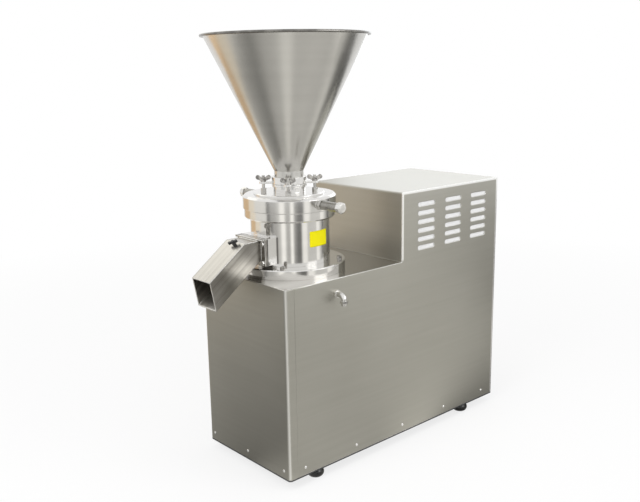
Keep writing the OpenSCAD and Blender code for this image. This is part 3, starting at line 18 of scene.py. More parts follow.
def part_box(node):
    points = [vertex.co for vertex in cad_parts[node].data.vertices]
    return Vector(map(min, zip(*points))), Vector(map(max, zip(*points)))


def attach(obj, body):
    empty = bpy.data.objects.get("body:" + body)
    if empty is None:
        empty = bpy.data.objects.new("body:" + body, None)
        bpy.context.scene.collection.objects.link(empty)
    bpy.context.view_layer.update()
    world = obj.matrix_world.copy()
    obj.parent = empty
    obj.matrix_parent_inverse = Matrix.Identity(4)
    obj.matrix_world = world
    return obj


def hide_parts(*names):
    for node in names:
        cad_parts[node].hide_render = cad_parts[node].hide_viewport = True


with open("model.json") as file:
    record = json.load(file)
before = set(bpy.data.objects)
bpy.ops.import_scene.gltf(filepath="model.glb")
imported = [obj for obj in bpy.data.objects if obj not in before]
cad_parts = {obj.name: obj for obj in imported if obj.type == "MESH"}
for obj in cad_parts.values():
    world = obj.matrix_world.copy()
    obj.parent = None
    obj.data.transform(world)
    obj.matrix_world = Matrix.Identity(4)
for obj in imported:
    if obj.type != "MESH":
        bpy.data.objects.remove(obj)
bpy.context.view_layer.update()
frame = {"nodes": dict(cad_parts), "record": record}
nodes = frame["nodes"]

# %% [markdown]
# ## Camera
# The picture was taken from the front right, a little above the deck, with a normal lens.
# A camera could be aimed with a Track To constraint, but a matrix built from three directions is
# plainer: right, up and back are its columns, and the small roll of the picture is a turn in the
# right-up plane.

# %% Place the camera
image_w = 640
focal_pixels = 800.3
sensor_mm = 36
far_clip = 50
camera_place = Vector((1.6018, -1.5188, 1.0379))
azimuth = math.radians(48.34)
elevation = math.radians(12.77)
roll = math.radians(-0.96)

back = Vector((math.sin(azimuth) * math.cos(elevation),
               -math.cos(azimuth) * math.cos(elevation),
               math.sin(elevation)))
level_right = Vector((math.cos(azimuth), math.sin(azimuth), 0))
level_up = back.cross(level_right)
right = level_right * math.cos(roll) + level_up * math.sin(roll)
up = level_up * math.cos(roll) - level_right * math.sin(roll)

camera = bpy.data.objects.new("camera", bpy.data.cameras.new("camera"))
camera.data.sensor_width = sensor_mm
camera.data.lens = focal_pixels / image_w * sensor_mm
camera.data.clip_end = far_clip
camera.matrix_world = Matrix((right, up, back)).transposed().to_4x4()
camera.location = camera_place
bpy.context.scene.collection.objects.link(camera)
bpy.context.scene.camera = camera
bpy.context.scene.view_settings.view_transform = "Standard"
print("camera with a lens of", round(camera.data.lens, 1), "mm")

# %% [markdown]
# ## Wiring materials with sums
# A finish is a small graph of nodes. Adding each node by hand hides the idea behind many lines,
# so one class wraps a socket: plus, minus, times and divide on it add Math nodes,
# and one method adds any other kind of node. The graph then reads like the formula it is.

# %% A socket that takes part in sums
class Wire:
    """A node's output socket in a tree. Sums with it become Math nodes."""

    def __init__(self, tree, socket=None):
        self.tree = tree
        self.socket = socket

    def add(self, kind, settings=None, sockets=None, out=0):
        """Adds a node of this kind, sets it up, feeds its sockets, and returns one of its outputs."""
        node = self.tree.nodes.new(kind)
        for key, value in (settings or {}).items():
            if key == "stops":
                ramp = node.color_ramp
                while len(ramp.elements) < len(value):
                    ramp.elements.new(1)
                for element, (place, colour) in zip(ramp.elements, value):
                    element.position = place
                    element.color = colour
            else:
                setattr(node, key, value)
        for key, value in (sockets or {}).items():
            if isinstance(value, Wire):
                self.tree.links.new(value.socket, node.inputs[key])
            else:
                node.inputs[key].default_value = value
        return Wire(self.tree, node.outputs[out] if node.outputs else None)

    def sum_with(self, operation, first, second=0):
        """Adds a Math node for two wires or numbers."""
        return self.add("ShaderNodeMath", {"operation": operation}, {0: first, 1: second})

    def __add__(self, other):
        return self.sum_with("ADD", self, other)

    __radd__ = __add__

    def __sub__(self, other):
        return self.sum_with("SUBTRACT", self, other)

    def __rsub__(self, other):
        return self.sum_with("SUBTRACT", other, self)

    def __mul__(self, other):
        return self.sum_with("MULTIPLY", self, other)

    __rmul__ = __mul__

    def __truediv__(self, other):
        return self.sum_with("DIVIDE", self, other)

    def __rtruediv__(self, other):
        return self.sum_with("DIVIDE", other, self)

    def __pow__(self, other):
        return self.sum_with("POWER", self, other)

    def __gt__(self, other):
        return self.sum_with("GREATER_THAN", self, other)

    def __abs__(self):
        return self.sum_with("ABSOLUTE", self)

    def up_to_one(self):
        return self.sum_with("MINIMUM", self, 1)

    def rise(self, low, high):
        """Nought below the first value, one above the second, and a smooth rise between them."""
        return self.add("ShaderNodeMapRange", {"interpolation_type": "SMOOTHSTEP"},
                        {"Value": self, "From Min": low, "From Max": high})


bevel_samples = 6
edge_gain = 5


def grey(level):
    """A colour without a hue."""
    return (level, level, level, 1)


def new_finish(name):
    """An empty material and a wire to start its graph from."""
    material = bpy.data.materials.new(name)
    material.use_nodes = True
    material.node_tree.nodes.clear()
    return material, Wire(material.node_tree)


def end_finish(start, sockets):
    """Feeds a Principled shader and the material's output."""
    shader = start.add("ShaderNodeBsdfPrincipled", {}, sockets)
    start.add("ShaderNodeOutputMaterial", {}, {"Surface": shader})


def place_of(start):
    """The three coordinates of a surface point, in metres in the machine's own frame."""
    point = start.add("ShaderNodeTexCoord", {}, {}, "Object")
    return point, [start.add("ShaderNodeSeparateXYZ", {}, {0: point}, axis) for axis in "XYZ"]


def noise(start, vector, scale, detail):
    """Smooth noise between nought and one. Detail is the number of finer layers on top."""
    return start.add("ShaderNodeTexNoise", {}, {"Vector": vector, "Scale": scale, "Detail": detail})


def stretched(start, x, y, z):
    """A vector from three wires or numbers."""
    return start.add("ShaderNodeCombineXYZ", {}, {0: x, 1: y, 2: z})


def tint(start, factor, first, second):
    """A colour between two colours."""
    return start.add("ShaderNodeMix", {"data_type": "RGBA"}, {0: factor, 6: first, 7: second}, 2)


def bump(start, height, distance, normal):
    """A normal that is tilted by a height, over a normal that is there already."""
    return start.add("ShaderNodeBump", {}, {"Height": height, "Distance": distance, "Normal": normal})


def edges(start, radius):
    """The normal with its edges rounded off, and a mask that is one along those edges."""
    soft = start.add("ShaderNodeBevel", {"samples": bevel_samples}, {"Radius": radius})
    flat = start.add("ShaderNodeNewGeometry", {}, {}, "True Normal")
    alike = start.add("ShaderNodeVectorMath", {"operation": "DOT_PRODUCT"},
                      {0: soft, 1: flat}, "Value")
    return soft, ((1 - alike) * edge_gain).up_to_one()


print("wiring ready")

# %% [markdown]
# ## Floor and background
# The machine stands on a plain white floor. The floor and the world look white to the camera and in
# reflections, which is what a photo studio's paper sweep does, and the floor still takes a soft
# shadow. Far from the machine the floor glows fully white, so that no horizon shows.

# %% Background and floor
scene = bpy.context.scene
world = bpy.data.worlds.new("studio")
world.use_nodes = True
world.node_tree.nodes.clear()
scene.world = world
start = Wire(world.node_tree)


def seen(start):
    """One for rays from the camera, from a mirror or through glass, and nought for spread light."""
    rays = [start.add("ShaderNodeLightPath", {}, {}, name)
            for name in ("Is Camera Ray", "Is Glossy Ray", "Is Transmission Ray")]
    return (rays[0] + rays[1] + rays[2]).up_to_one()


sky_light = 0.55
sky_level = seen(start) * (1 - sky_light) + sky_light
backdrop = start.add("ShaderNodeBackground", {}, {"Color": grey(1), "Strength": sky_level})
start.add("ShaderNodeOutputWorld", {}, {"Surface": backdrop})

floor_half = 12
paper_grey = 0.85
near_white = 0.75
fade_reach = 3


def flat_sheet(name, corners, finish):
    """A four-cornered sheet that belongs to the studio and not to the machine."""
    mesh = bpy.data.meshes.new(name)
    mesh.from_pydata(corners, [], [(0, 1, 2, 3)])
    mesh.materials.append(finish)
    sheet = bpy.data.objects.new(name, mesh)
    scene.collection.objects.link(sheet)
    return sheet


floor_paper, start = new_finish("floor_paper")
paper = start.add("ShaderNodeBsdfDiffuse", {}, {"Color": grey(paper_grey)})
white = start.add("ShaderNodeEmission", {}, {"Color": grey(1), "Strength": 1})
_, (x, y, _) = place_of(start)
far_off = ((x * x + y * y) ** 0.5 / fade_reach).up_to_one()
glow_share = seen(start) * (far_off * (1 - near_white) + near_white)
both = start.add("ShaderNodeMixShader", {}, {0: glow_share, 1: paper, 2: white})
start.add("ShaderNodeOutputMaterial", {}, {"Surface": both})
flat_sheet("floor", [(-floor_half, -floor_half, 0), (floor_half, -floor_half, 0),
                     (floor_half, floor_half, 0), (-floor_half, floor_half, 0)], floor_paper)
print("floor and background made")

# %% [markdown]
# ## Lamps
# Three large square lamps light the front, the side and the top. Small lamps would give hard shadows
# and burnt-out spots on the steel, so each one is more than a metre and a half wide.

# %% Lamps
middle = Vector((0, 0, 0.55))


def around(azimuth, distance, height):
    """A point on a circle round the machine. Nought degrees is in front, ninety at its right side."""
    angle = math.radians(azimuth)
    return Vector((math.sin(angle) * distance, -math.cos(angle) * distance, height))


def lamp(name, azimuth, height, distance, size, power):
    """A square area lamp on a circle round the machine, aimed at its middle."""
    data = bpy.data.lights.new(name, "AREA")
    data.size = size
    data.energy = power
    thing = bpy.data.objects.new(name, data)
    thing.location = around(azimuth, distance, height)
    thing.rotation_euler = (middle - thing.location).to_track_quat("-Z", "Y").to_euler()
    scene.collection.objects.link(thing)
    return thing


lamp("key_lamp", 10, 2.6, 2.6, 1.6, 45).visible_glossy = False
lamp("side_lamp", 110, 2.2, 2.8, 1.6, 25)
lamp("top_lamp", 60, 3.2, 0.3, 2.0, 30).visible_glossy = False

# %% [markdown]
# ## A card wall and a mat
# Steel has hardly a colour of its own: it shows the room, so its bands are drawn by what stands round
# it. Photographers put cards there. Here one round wall and one mat stand for them, centred on the
# mill's axis and seen only in the steel: the camera, the shadows and the soft light pass through them.
# A colour ramp over the direction paints each of them, because a round body shows each direction as
# one upright streak, at half its angle from the camera.

# %% Wall and mat that only the steel sees
disc_low, disc_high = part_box("base_disc")
mill_y = (disc_low[1] + disc_high[1]) / 2
wall_reach = 1.7
wall_height = 0.5
mat_lift = 0.002
mat_hole = 0.1
warm = (1.0, 0.985, 0.94)
straw = (1.0, 0.90, 0.74)
cool = (0.98, 1.0, 1.03)
tan = (1.0, 0.73, 0.46)
wall_tones = [(-180, 0.10, warm), (-130, 0.75, warm), (-104, 0.75, warm), (-98, 0.72, tan),
              (-69, 0.74, tan), (-63, 0.88, straw), (-48, 0.92, straw), (-38, 0.86, warm),
              (-10, 0.86, warm), (-5, 0.22, warm), (-1, 0.25, warm), (4, 0.46, warm),
              (14, 0.50, warm), (23, 0.70, warm), (28, 1.15, warm), (35, 1.15, warm),
              (41, 0.55, warm), (49, 0.50, warm), (53, 1.20, warm), (57, 1.20, warm),
              (62, 0.42, warm), (71, 0.20, warm), (80, 0.16, warm), (86, 1.05, warm),
              (96, 1.05, warm), (102, 0.66, warm), (126, 0.70, warm), (132, 1.05, warm),
              (138, 1.05, warm), (147, 0.57, warm), (157, 0.15, warm), (180, 0.10, warm)]
mat_tones = [(-180, 0.60, warm), (-165, 1.05, warm), (-104, 1.05, warm), (-98, 0.92, tan),
             (-82, 0.92, tan), (-77, 1.05, warm), (-66, 0.85, warm), (-54, 0.53, warm),
             (-42, 0.44, warm), (-30, 0.37, warm), (-8, 0.27, warm), (12, 0.54, warm), (36, 0.62, warm),
             (45, 0.90, warm), (57, 0.95, warm), (66, 0.64, warm), (98, 0.70, warm), (132, 0.62, warm),
             (148, 0.95, warm), (152, 0.90, warm), (157, 0.30, warm), (180, 0.25, warm)]
segments = 72


def painted_by_direction(name, tones):
    """A glowing finish whose colour follows the direction seen from the mill's axis."""
    finish, start = new_finish(name)
    _, (x, y, _) = place_of(start)
    turn = start.sum_with("ARCTAN2", x, 0 - y) / (2 * math.pi) + 0.5
    stops = [((angle + 180) / 360, tuple(level * c for c in hue) + (1,))
             for angle, level, hue in tones]
    colour = start.add("ShaderNodeValToRGB", {"stops": stops}, {0: turn})
    glow = start.add("ShaderNodeEmission", {}, {"Color": colour, "Strength": 1})
    start.add("ShaderNodeOutputMaterial", {}, {"Surface": glow})
    return finish


def round_band(name, inner, outer, finish):
    """A band between two circles round the mill's axis, each given by its radius and height."""
    mesh = bpy.data.meshes.new(name)
    points = [around(360 * i / segments, *circle)
              for circle in (inner, outer) for i in range(segments)]
    faces = [(i, (i + 1) % segments, segments + (i + 1) % segments, segments + i)
             for i in range(segments)]
    mesh.from_pydata(points, [], faces)
    mesh.materials.append(finish)
    band = bpy.data.objects.new(name, mesh)
    band.location.y = mill_y
    scene.collection.objects.link(band)
    only_in_steel(band)


def only_in_steel(thing):
    """Marks a studio sheet that neither the camera nor the shadows nor the soft light see."""
    thing.visible_camera = False
    thing.visible_diffuse = False
    thing.visible_shadow = False


wall_paint = painted_by_direction("wall_paint", wall_tones)
mat_paint = painted_by_direction("mat_paint", mat_tones)
round_band("card_wall", (wall_reach, mat_lift), (wall_reach, wall_height), wall_paint)
round_band("floor_mat", (mat_hole, mat_lift), (wall_reach, mat_lift), mat_paint)
print("wall and mat with", len(wall_tones) + len(mat_tones), "tones")

# %% [markdown]
# ## Bright panels
# The hood's top and the chute's top mirror the space behind and to the left of the machine.
# They are nearly white in the picture, so two glowing panels stand there, and again only the steel
# sees them. A third one carries the wall's sand colour higher up, for the strip along the hopper's
# left side.

# %% Bright panels
def bright_panel(name, first, last, low, high, hue, level):
    """An upright panel that fills the directions from the first to the last azimuth."""
    finish, start = new_finish(name)
    glow = start.add("ShaderNodeEmission", {}, {"Color": (*hue, 1), "Strength": level})
    start.add("ShaderNodeOutputMaterial", {}, {"Surface": glow})
    corners = [around(first, wall_reach, low), around(last, wall_reach, low),
               around(last, wall_reach, high), around(first, wall_reach, high)]
    only_in_steel(flat_sheet(name, corners, finish))


bright_panel("rear_panel_light", -172, -133, 0.95, 2.0, cool, 1.9)
bright_panel("left_panel_light", -105, -60, 1.4, 3.0, warm, 1.45)
bright_panel("left_sand_panel", -75, -52, 0.5, 0.95, tan, 1.05)
print("panels made")

# %% [markdown]
# ## Brushed sheet
# The cabinet is folded from stainless sheet with a brushed face: fine scratches that run along each
# panel. An image of scratches would need unwrapped panels, so the grain is noise that is squeezed
# across the panel and drawn out along it. Faces that look to the front or the back have their grain
# crosswise. Faces that look up are painted a little lighter, as painted light, and their streaks are
# calmer.
# Along each fold the edge mask paints a thin pale highlight and makes the sheet smoother. The two front
# corners carry that painted highlight, while the seam just behind them hardly shows.
# Painted light and shade come last: the front face is painted a shade darker than the sides, the deck
# has a painted reflection at its front corners and painted shade under the chute, and the chute's sides
# are painted darker as shade apart from one band left bright for a reflection.

# %% Brushed sheet
front_low, front_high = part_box("front_panel")
hood_low, hood_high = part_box("hood_cover")
corner_w = 0.008
seam_w = 0.03
fold_w = 0.008
# The tone that painted shade is mixed towards: on the front face, on the deck under the chute, and in
# the outlet crease.
painted_shade_tone = (0.05, 0.042, 0.036, 1)
sheet_highlight_tone = (0.97, 0.97, 0.95, 1)
front_skin = 0.002
front_shade = 0.21
deck_reflection_tone = (0.72, 0.70, 0.66, 1)
apron_end = (mill_y - 0.02, mill_y + 0.06)
reflection_from = (0.07, 0.14)
chute_shadow_to = (0.03, 0.08)
chute_shadow_share = 0.8
chute_side_shade = (0.15, 0.14, 0.125, 1)
chute_side = 0.0375
reflection_place = 0.016
reflection_end = (0.012, 0.05)
side_shade_share = 0.6


def plain_edges(edge, x, y, z):
    """A painted highlight along every edge."""
    return edge


def highlit_corners(edge, x, y, z):
    """Keeps the painted highlight at the two front corners only."""
    sideways = abs(x).rise(front_high[0] - corner_w, front_high[0])
    forward = 1 - y.rise(front_low[1], front_low[1] + corner_w)
    return sideways * forward


def hood_fold_highlights(edge, x, y, z):
    """Painted highlights along the hood's three folds, and none at the seam behind the front corner."""
    quiet = edge * y.rise(front_low[1] + seam_w, front_low[1] + 2 * seam_w)
    above_deck = z.rise(hood_low[2], hood_low[2] + corner_w)
    front_fold = above_deck * (1 - y.rise(hood_low[1] + fold_w / 2, hood_low[1] + fold_w))
    back_fold = y.rise(hood_high[1] - fold_w, hood_high[1] - fold_w / 2)
    top_fold = z.rise(hood_high[2] - fold_w, hood_high[2] - fold_w / 2)
    return (quiet + front_fold + back_fold + top_fold).up_to_one()


def no_painted_light(start, sheet, x, y, z):
    """Sheet without painted light or shade."""
    return sheet


def front_painted_shade(start, sheet, x, y, z):
    """Painted shade: the front face is a shade darker than the two sides that are folded back from it.
    """
    at_front = 1 - y.rise(front_low[1] + front_skin, front_low[1] + 2 * front_skin)
    return tint(start, at_front * front_shade, sheet, painted_shade_tone)


def deck_painted_light(start, sheet, x, y, z):
    """A painted reflection brightens the deck towards the front corners, and painted shade darkens it
    under the chute.
    """
    apron = 1 - y.rise(*apron_end)
    reflected = tint(start, abs(x).rise(*reflection_from) * apron, sheet, deck_reflection_tone)
    return tint(start, (1 - abs(x).rise(*chute_shadow_to)) * apron * chute_shadow_share, reflected, painted_shade_tone)


def chute_painted_light(start, sheet, x, y, z):
    """The chute's outer sides are painted darker as shade, apart from one band left bright for a
    reflection. Here y runs up the chute.
    """
    shaded_side = (abs(x) > chute_side) * abs(y - reflection_place).rise(*reflection_end)
    return tint(start, shaded_side * side_shade_share, sheet, chute_side_shade)


sheet_round = 0.003
facing = 0.7
facing_up = 0.5
grain_scale = (900, 6)
band_scale = (90, 3)
cloud_scale = 4
grain_share = 0.3
cloud_share = 0.6
top_calm = 0.7
top_painted_light = 0.15
base_lift = 0.05
grain_rough = 0.12
cloud_rough = 0.10
line_polish = 0.12


def brushed_noise(start, scale, crosswise, x, y, z, detail):
    """Noise that is fine across the sheet and drawn out along it, or crosswise on end faces."""
    fine, drawn_out = scale
    turn = crosswise * (fine - drawn_out)
    place = stretched(start, x * (fine - turn), y * (turn + drawn_out), z * fine)
    return noise(start, place, 1, detail)


def brushed_sheet(name, dark, light, roughness, grain_depth=0.00003, slope=0.0, streaks=0.35,
                  wear_and_highlight=plain_edges, painted_light=no_painted_light):
    """Sheet with a grain along the machine. A slope turns the grain to run down a chute."""
    material, start = new_finish(name)
    point, (x, level_y, level_z) = place_of(start)
    y = level_y * math.cos(slope) + level_z * math.sin(slope)
    z = level_z * math.cos(slope) - level_y * math.sin(slope)
    normal, edge = edges(start, sheet_round)
    face = start.add("ShaderNodeNewGeometry", {}, {}, "True Normal")
    crosswise = abs(start.add("ShaderNodeSeparateXYZ", {}, {0: face}, "Y")) > facing
    upward = start.add("ShaderNodeSeparateXYZ", {}, {0: face}, "Z") > facing_up
    grain = brushed_noise(start, grain_scale, crosswise, x, y, z, 4)
    bands = brushed_noise(start, band_scale, crosswise, x, y, z, 2)
    cloud = noise(start, point, cloud_scale, 3)
    streak = (bands - 0.5) * (1 - upward * top_calm) * streaks
    # Faces that look up are painted lighter by top_painted_light, as painted light on tops such as the
    # chute's and the hood's.
    shade = grain * grain_share + streak + cloud * cloud_share + upward * top_painted_light + base_lift
    line = wear_and_highlight(edge, x, level_y, level_z)
    sheet = painted_light(start, tint(start, shade, dark, light), x, y, z)
    # Along the edge mask the sheet is painted near white as a highlight.
    bright = tint(start, line, sheet, sheet_highlight_tone)
    even = roughness - (grain_rough + cloud_rough) / 2
    rough = grain * grain_rough + cloud * cloud_rough + even - line * line_polish
    end_finish(start, {"Base Color": bright, "Metallic": 1.0, "Roughness": rough,
                       "Normal": bump(start, grain, grain_depth, normal)})
    return material


sheet_dark = (0.385, 0.375, 0.332, 1)
sheet_light = (0.50, 0.49, 0.447, 1)
deck_dark = (0.33, 0.32, 0.285, 1)
deck_light = (0.46, 0.445, 0.405, 1)
chute_dark = (0.26, 0.245, 0.22, 1)
chute_light = (0.74, 0.72, 0.67, 1)
chute_slope = math.radians(36.5)
sheet_rough = 0.40
smooth_grain = 0.00001
cabinet_sheet = brushed_sheet("cabinet_sheet", sheet_dark, sheet_light, sheet_rough)
front_sheet = brushed_sheet("front_sheet", sheet_dark, sheet_light, sheet_rough,
                            wear_and_highlight=highlit_corners, painted_light=front_painted_shade)
side_sheet = brushed_sheet("side_sheet", sheet_dark, sheet_light, sheet_rough, wear_and_highlight=hood_fold_highlights)
deck_sheet = brushed_sheet("deck_sheet", deck_dark, deck_light, 0.17, smooth_grain,
                           painted_light=deck_painted_light)
chute_sheet = brushed_sheet("chute_sheet", chute_dark, chute_light, 0.30, smooth_grain,
                            chute_slope, streaks=1.6, painted_light=chute_painted_light)
print("brushed finishes made")

# %% [markdown]
# ## Turned and spun steel
# The mill head was turned on a lathe and polished, and the hopper was rolled and ground. Both leave
# fine rings round the mill's own axis. The distance from that axis and the height are squeezed hard in
# a noise texture, so that it changes from ring to ring and not at all round the body.
# Hardly any light gets into the corner between the outlet block and the body, so a dark line is
# painted there.

# %% Turned and spun steel
gasket_low, gasket_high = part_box("chute_gasket")
body_r = 0.104
crease_w = 0.004
crease_share = 0.85
turned_round = 0.0015
ring_scale = 1200
ring_band_scale = 60
smear_scale = 14
ring_share = 0.3
band_share = 0.4
smear_share = 0.4
turned_lift = -0.05
turned_edge = 0.6
turned_highlight_tone = (0.92, 0.91, 0.89, 1)
turned_rough = 0.08


def no_crease(x, y, z, radius):
    """A body without a dark corner."""
    return 0.0


def outlet_crease(x, y, z, radius):
    """Painted shade: the dark upright line where the outlet block meets the round body."""
    at_wall = 1 - abs(radius - body_r).rise(0, crease_w)
    at_block = 1 - abs(abs(x) - gasket_high[0]).rise(0, crease_w)
    in_height = (z > gasket_low[2]) - (z > gasket_high[2])
    return at_wall * at_block * in_height * (1 - (y > mill_y)) * crease_share


def turned_steel(name, dark, light, roughness, ring_depth, crease=no_crease):
    """Steel with fine rings round the mill's axis, a painted highlight on its edges, and painted shade
    where the crease function is one.
    """
    material, start = new_finish(name)
    point, (x, y, z) = place_of(start)
    normal, edge = edges(start, turned_round)
    off_axis = y - mill_y
    radius = (x * x + off_axis * off_axis) ** 0.5
    rings = noise(start, stretched(start, radius * ring_scale, 0.0, z * ring_scale), 1, 3)
    bands = noise(start, stretched(start, radius * ring_band_scale, 0.0, z * ring_band_scale), 1, 2)
    smear = noise(start, point, smear_scale, 3)
    shade = rings * ring_share + bands * band_share + smear * smear_share + turned_lift
    steel = tint(start, shade, dark, light)
    # Edges are painted paler as a highlight, and the crease is painted darker as shade.
    wear_and_highlight = tint(start, edge * turned_edge, steel, turned_highlight_tone)
    bright = tint(start, crease(x, y, z, radius), wear_and_highlight, painted_shade_tone)
    rough = rings * turned_rough + smear * turned_rough + (roughness - turned_rough)
    end_finish(start, {"Base Color": bright, "Metallic": 1.0, "Roughness": rough,
                       "Normal": bump(start, rings, ring_depth, normal)})
    return material


head_dark = (0.66, 0.65, 0.63, 1)
head_light = (0.86, 0.85, 0.83, 1)
cone_dark = (0.52, 0.51, 0.48, 1)
cone_light = (0.66, 0.65, 0.62, 1)
head_steel = turned_steel("head_steel", head_dark, head_light, 0.13, 0.00002)
body_steel = turned_steel("body_steel", head_dark, head_light, 0.13, 0.00002, outlet_crease)
hopper_steel = turned_steel("hopper_steel", cone_dark, cone_light, 0.23, 0.00003)
print("turned finishes made")

# %% [markdown]
# ## Small bright fittings
# Screws, nuts, rivets, handles and the pipe elbow are bright too, but each has an axis of its own.
# A plain fine noise stands for their polish, with darker and lighter broad patches, and pale edges that
# are a painted highlight.

# %% Small bright fittings
small_round = 0.001
polish_scale = 700
polish_share = 0.35
polish_rough = 0.10
polish_depth = 0.00002
patch_rise = (0.3, 0.7)
patch_rough = 0.14
fitting_edge = 0.5
fitting_highlight_tone = (0.90, 0.89, 0.87, 1)


def bright_steel(name, dark, light, roughness, patch_scale=45):
    """Polished steel with dark and light patches of a given fineness."""
    material, start = new_finish(name)
    point, _ = place_of(start)
    normal, edge = edges(start, small_round)
    polish = noise(start, point, polish_scale, 3)
    patches = noise(start, point, patch_scale, 3).rise(*patch_rise)
    shade = polish * polish_share + patches * (1 - polish_share)
    steel = tint(start, shade, dark, light)
    # Edges are painted paler as a highlight.
    bright = tint(start, edge * fitting_edge, steel, fitting_highlight_tone)
    even = roughness - (polish_rough + patch_rough) / 2
    rough = polish * polish_rough + patches * patch_rough + even
    end_finish(start, {"Base Color": bright, "Metallic": 1.0, "Roughness": rough,
                       "Normal": bump(start, polish, polish_depth, normal)})
    return material


fitting_steel = bright_steel("fitting_steel", (0.36, 0.35, 0.33, 1), (0.70, 0.69, 0.66, 1), 0.2)
# Near-black and pale patches on the wing nuts, mill bolts and lock lever are painted dark and bright
# reflections.
reflection_patch_steel = bright_steel("reflection_patch_steel", (0.05, 0.045, 0.04, 1), (0.72, 0.70, 0.66, 1), 0.16, 110)
grip_steel = bright_steel("grip_steel", (0.24, 0.23, 0.21, 1), (0.46, 0.45, 0.42, 1), 0.3)
cap_steel = bright_steel("cap_steel", (0.58, 0.57, 0.55, 1), (0.84, 0.83, 0.80, 1), 0.2)
rim_steel = bright_steel("rim_steel", (0.14, 0.135, 0.125, 1), (0.30, 0.29, 0.27, 1), 0.25)
rivet_steel = bright_steel("rivet_steel", (0.86, 0.86, 0.85, 1), (0.96, 0.96, 0.95, 1), 0.2)
works_steel = bright_steel("works_steel", (0.38, 0.38, 0.39, 1), (0.62, 0.62, 0.63, 1), 0.34)
iron = bright_steel("pulley_iron", (0.14, 0.14, 0.15, 1), (0.32, 0.32, 0.33, 1), 0.55)
print("fittings made")

# %% [markdown]
# ## Rubber, plastic and gaskets
# Feet, belts, knob, cable gland and gaskets are moulded. Moulded faces are never quite even:
# a fine grain stays from the mould, and dust makes broad patches a little paler and duller.

# %% Rubber, plastic and gaskets
dust_scale = 25
dust_share = 0.7
mould_rough = 0.16
dust_rough = 0.14


def moulded(name, dark, dusty, roughness, mould_scale, mould_depth):
    """Rubber, plastic or ceramic with a mould's grain and dusty patches."""
    material, start = new_finish(name)
    point, _ = place_of(start)
    normal, edge = edges(start, small_round)
    grain = noise(start, point, mould_scale, 3)
    dust = noise(start, point, dust_scale, 4)
    skin = tint(start, dust * dust_share + edge * (1 - dust_share), dark, dusty)
    even = roughness - (mould_rough + dust_rough) / 2
    rough = grain * mould_rough + dust * dust_rough + even
    end_finish(start, {"Base Color": skin, "Roughness": rough,
                       "Normal": bump(start, grain, mould_depth, normal)})
    return material


rubber = moulded("belt_rubber", grey(0.012), (0.045, 0.044, 0.042, 1), 0.42, 900, 0.0001)
foot_rubber = moulded("foot_rubber", grey(0.008), grey(0.022), 0.2, 900, 0.00003)
plastic = moulded("black_plastic", (0.014, 0.014, 0.015, 1), (0.05, 0.05, 0.052, 1),
                  0.36, 1400, 0.00005)
silicone = moulded("gasket_silicone", (0.72, 0.72, 0.70, 1), (0.84, 0.84, 0.81, 1),
                   0.45, 800, 0.00005)
ceramic = moulded("seal_ceramic", (0.34, 0.38, 0.36, 1), (0.44, 0.48, 0.45, 1),
                  0.3, 1500, 0.00002)
print("moulded finishes made")

# %% [markdown]
# ## Filter felt
# White felt closes the vent slots from the inside. Felt is a tangle of fibres, so two noises are
# used: a coarse one for its lumps and a fine drawn-out one for single hairs. The shader's sheen gives
# a soft rim.

# %% Filter felt
lump_scale = 260
hair_scale = (900, 500, 2200)
lump_share = 0.6
nap_depth = 0.0006
felt_rough = 0.95
felt_sheen = 0.3

felt, start = new_finish("filter_felt")
point, place = place_of(start)
lumps = noise(start, point, lump_scale, 4)
hair_place = stretched(start, *[along * scale for along, scale in zip(place, hair_scale)])
hairs = noise(start, hair_place, 1, 3)
nap = lumps * lump_share + hairs * (1 - lump_share)
flat_normal = start.add("ShaderNodeNewGeometry", {}, {}, "Normal")
end_finish(start, {"Base Color": tint(start, nap, grey(0.90), grey(0.99)),
                   "Roughness": felt_rough, "Sheen Weight": felt_sheen,
                   "Normal": bump(start, nap, nap_depth, flat_normal)})
print("felt made")

# %% [markdown]
# ## Paint
# The base frame and the motor inside are painted. Sprayed paint sets with a slight orange peel,
# and it is rubbed thin along the edges, where the mask lets a paler tone through.

# %% Paint
paint_round = 0.0015
peel_scale = 320
peel_rough = 0.10
peel_depth = 0.00015
grime_scale = 18
grime_share = 0.35
grime_rough = 0.16
rubbed_edge = 0.5


def paint(name, deep, wear_and_highlight, roughness):
    """Sprayed paint with orange peel, grime and rubbed edges."""
    material, start = new_finish(name)
    point, _ = place_of(start)
    normal, edge = edges(start, paint_round)
    peel = noise(start, point, peel_scale, 2)
    grime = noise(start, point, grime_scale, 4)
    coat = tint(start, grime * grime_share + edge * rubbed_edge, deep, wear_and_highlight)
    even = roughness - (peel_rough + grime_rough) / 2
    rough = peel * peel_rough + grime * grime_rough + even
    end_finish(start, {"Base Color": coat, "Roughness": rough,
                       "Normal": bump(start, peel, peel_depth, normal)})
    return material


dark_paint = paint("frame_paint", (0.035, 0.035, 0.036, 1), grey(0.10), 0.45)
motor_paint = paint("motor_paint", (0.13, 0.19, 0.26, 1), (0.26, 0.32, 0.38, 1), 0.4)
print("paints made")

# %% [markdown]
# ## Giving each piece its finish
# The imported record says which slot each solid belongs to, so most finishes follow from a short list.
# Some solids get a finish of their own: the deck is shinier than the panels, lathe work differs from
# screws, and the wing nuts, mill bolts and lock lever carry painted dark and bright reflections.

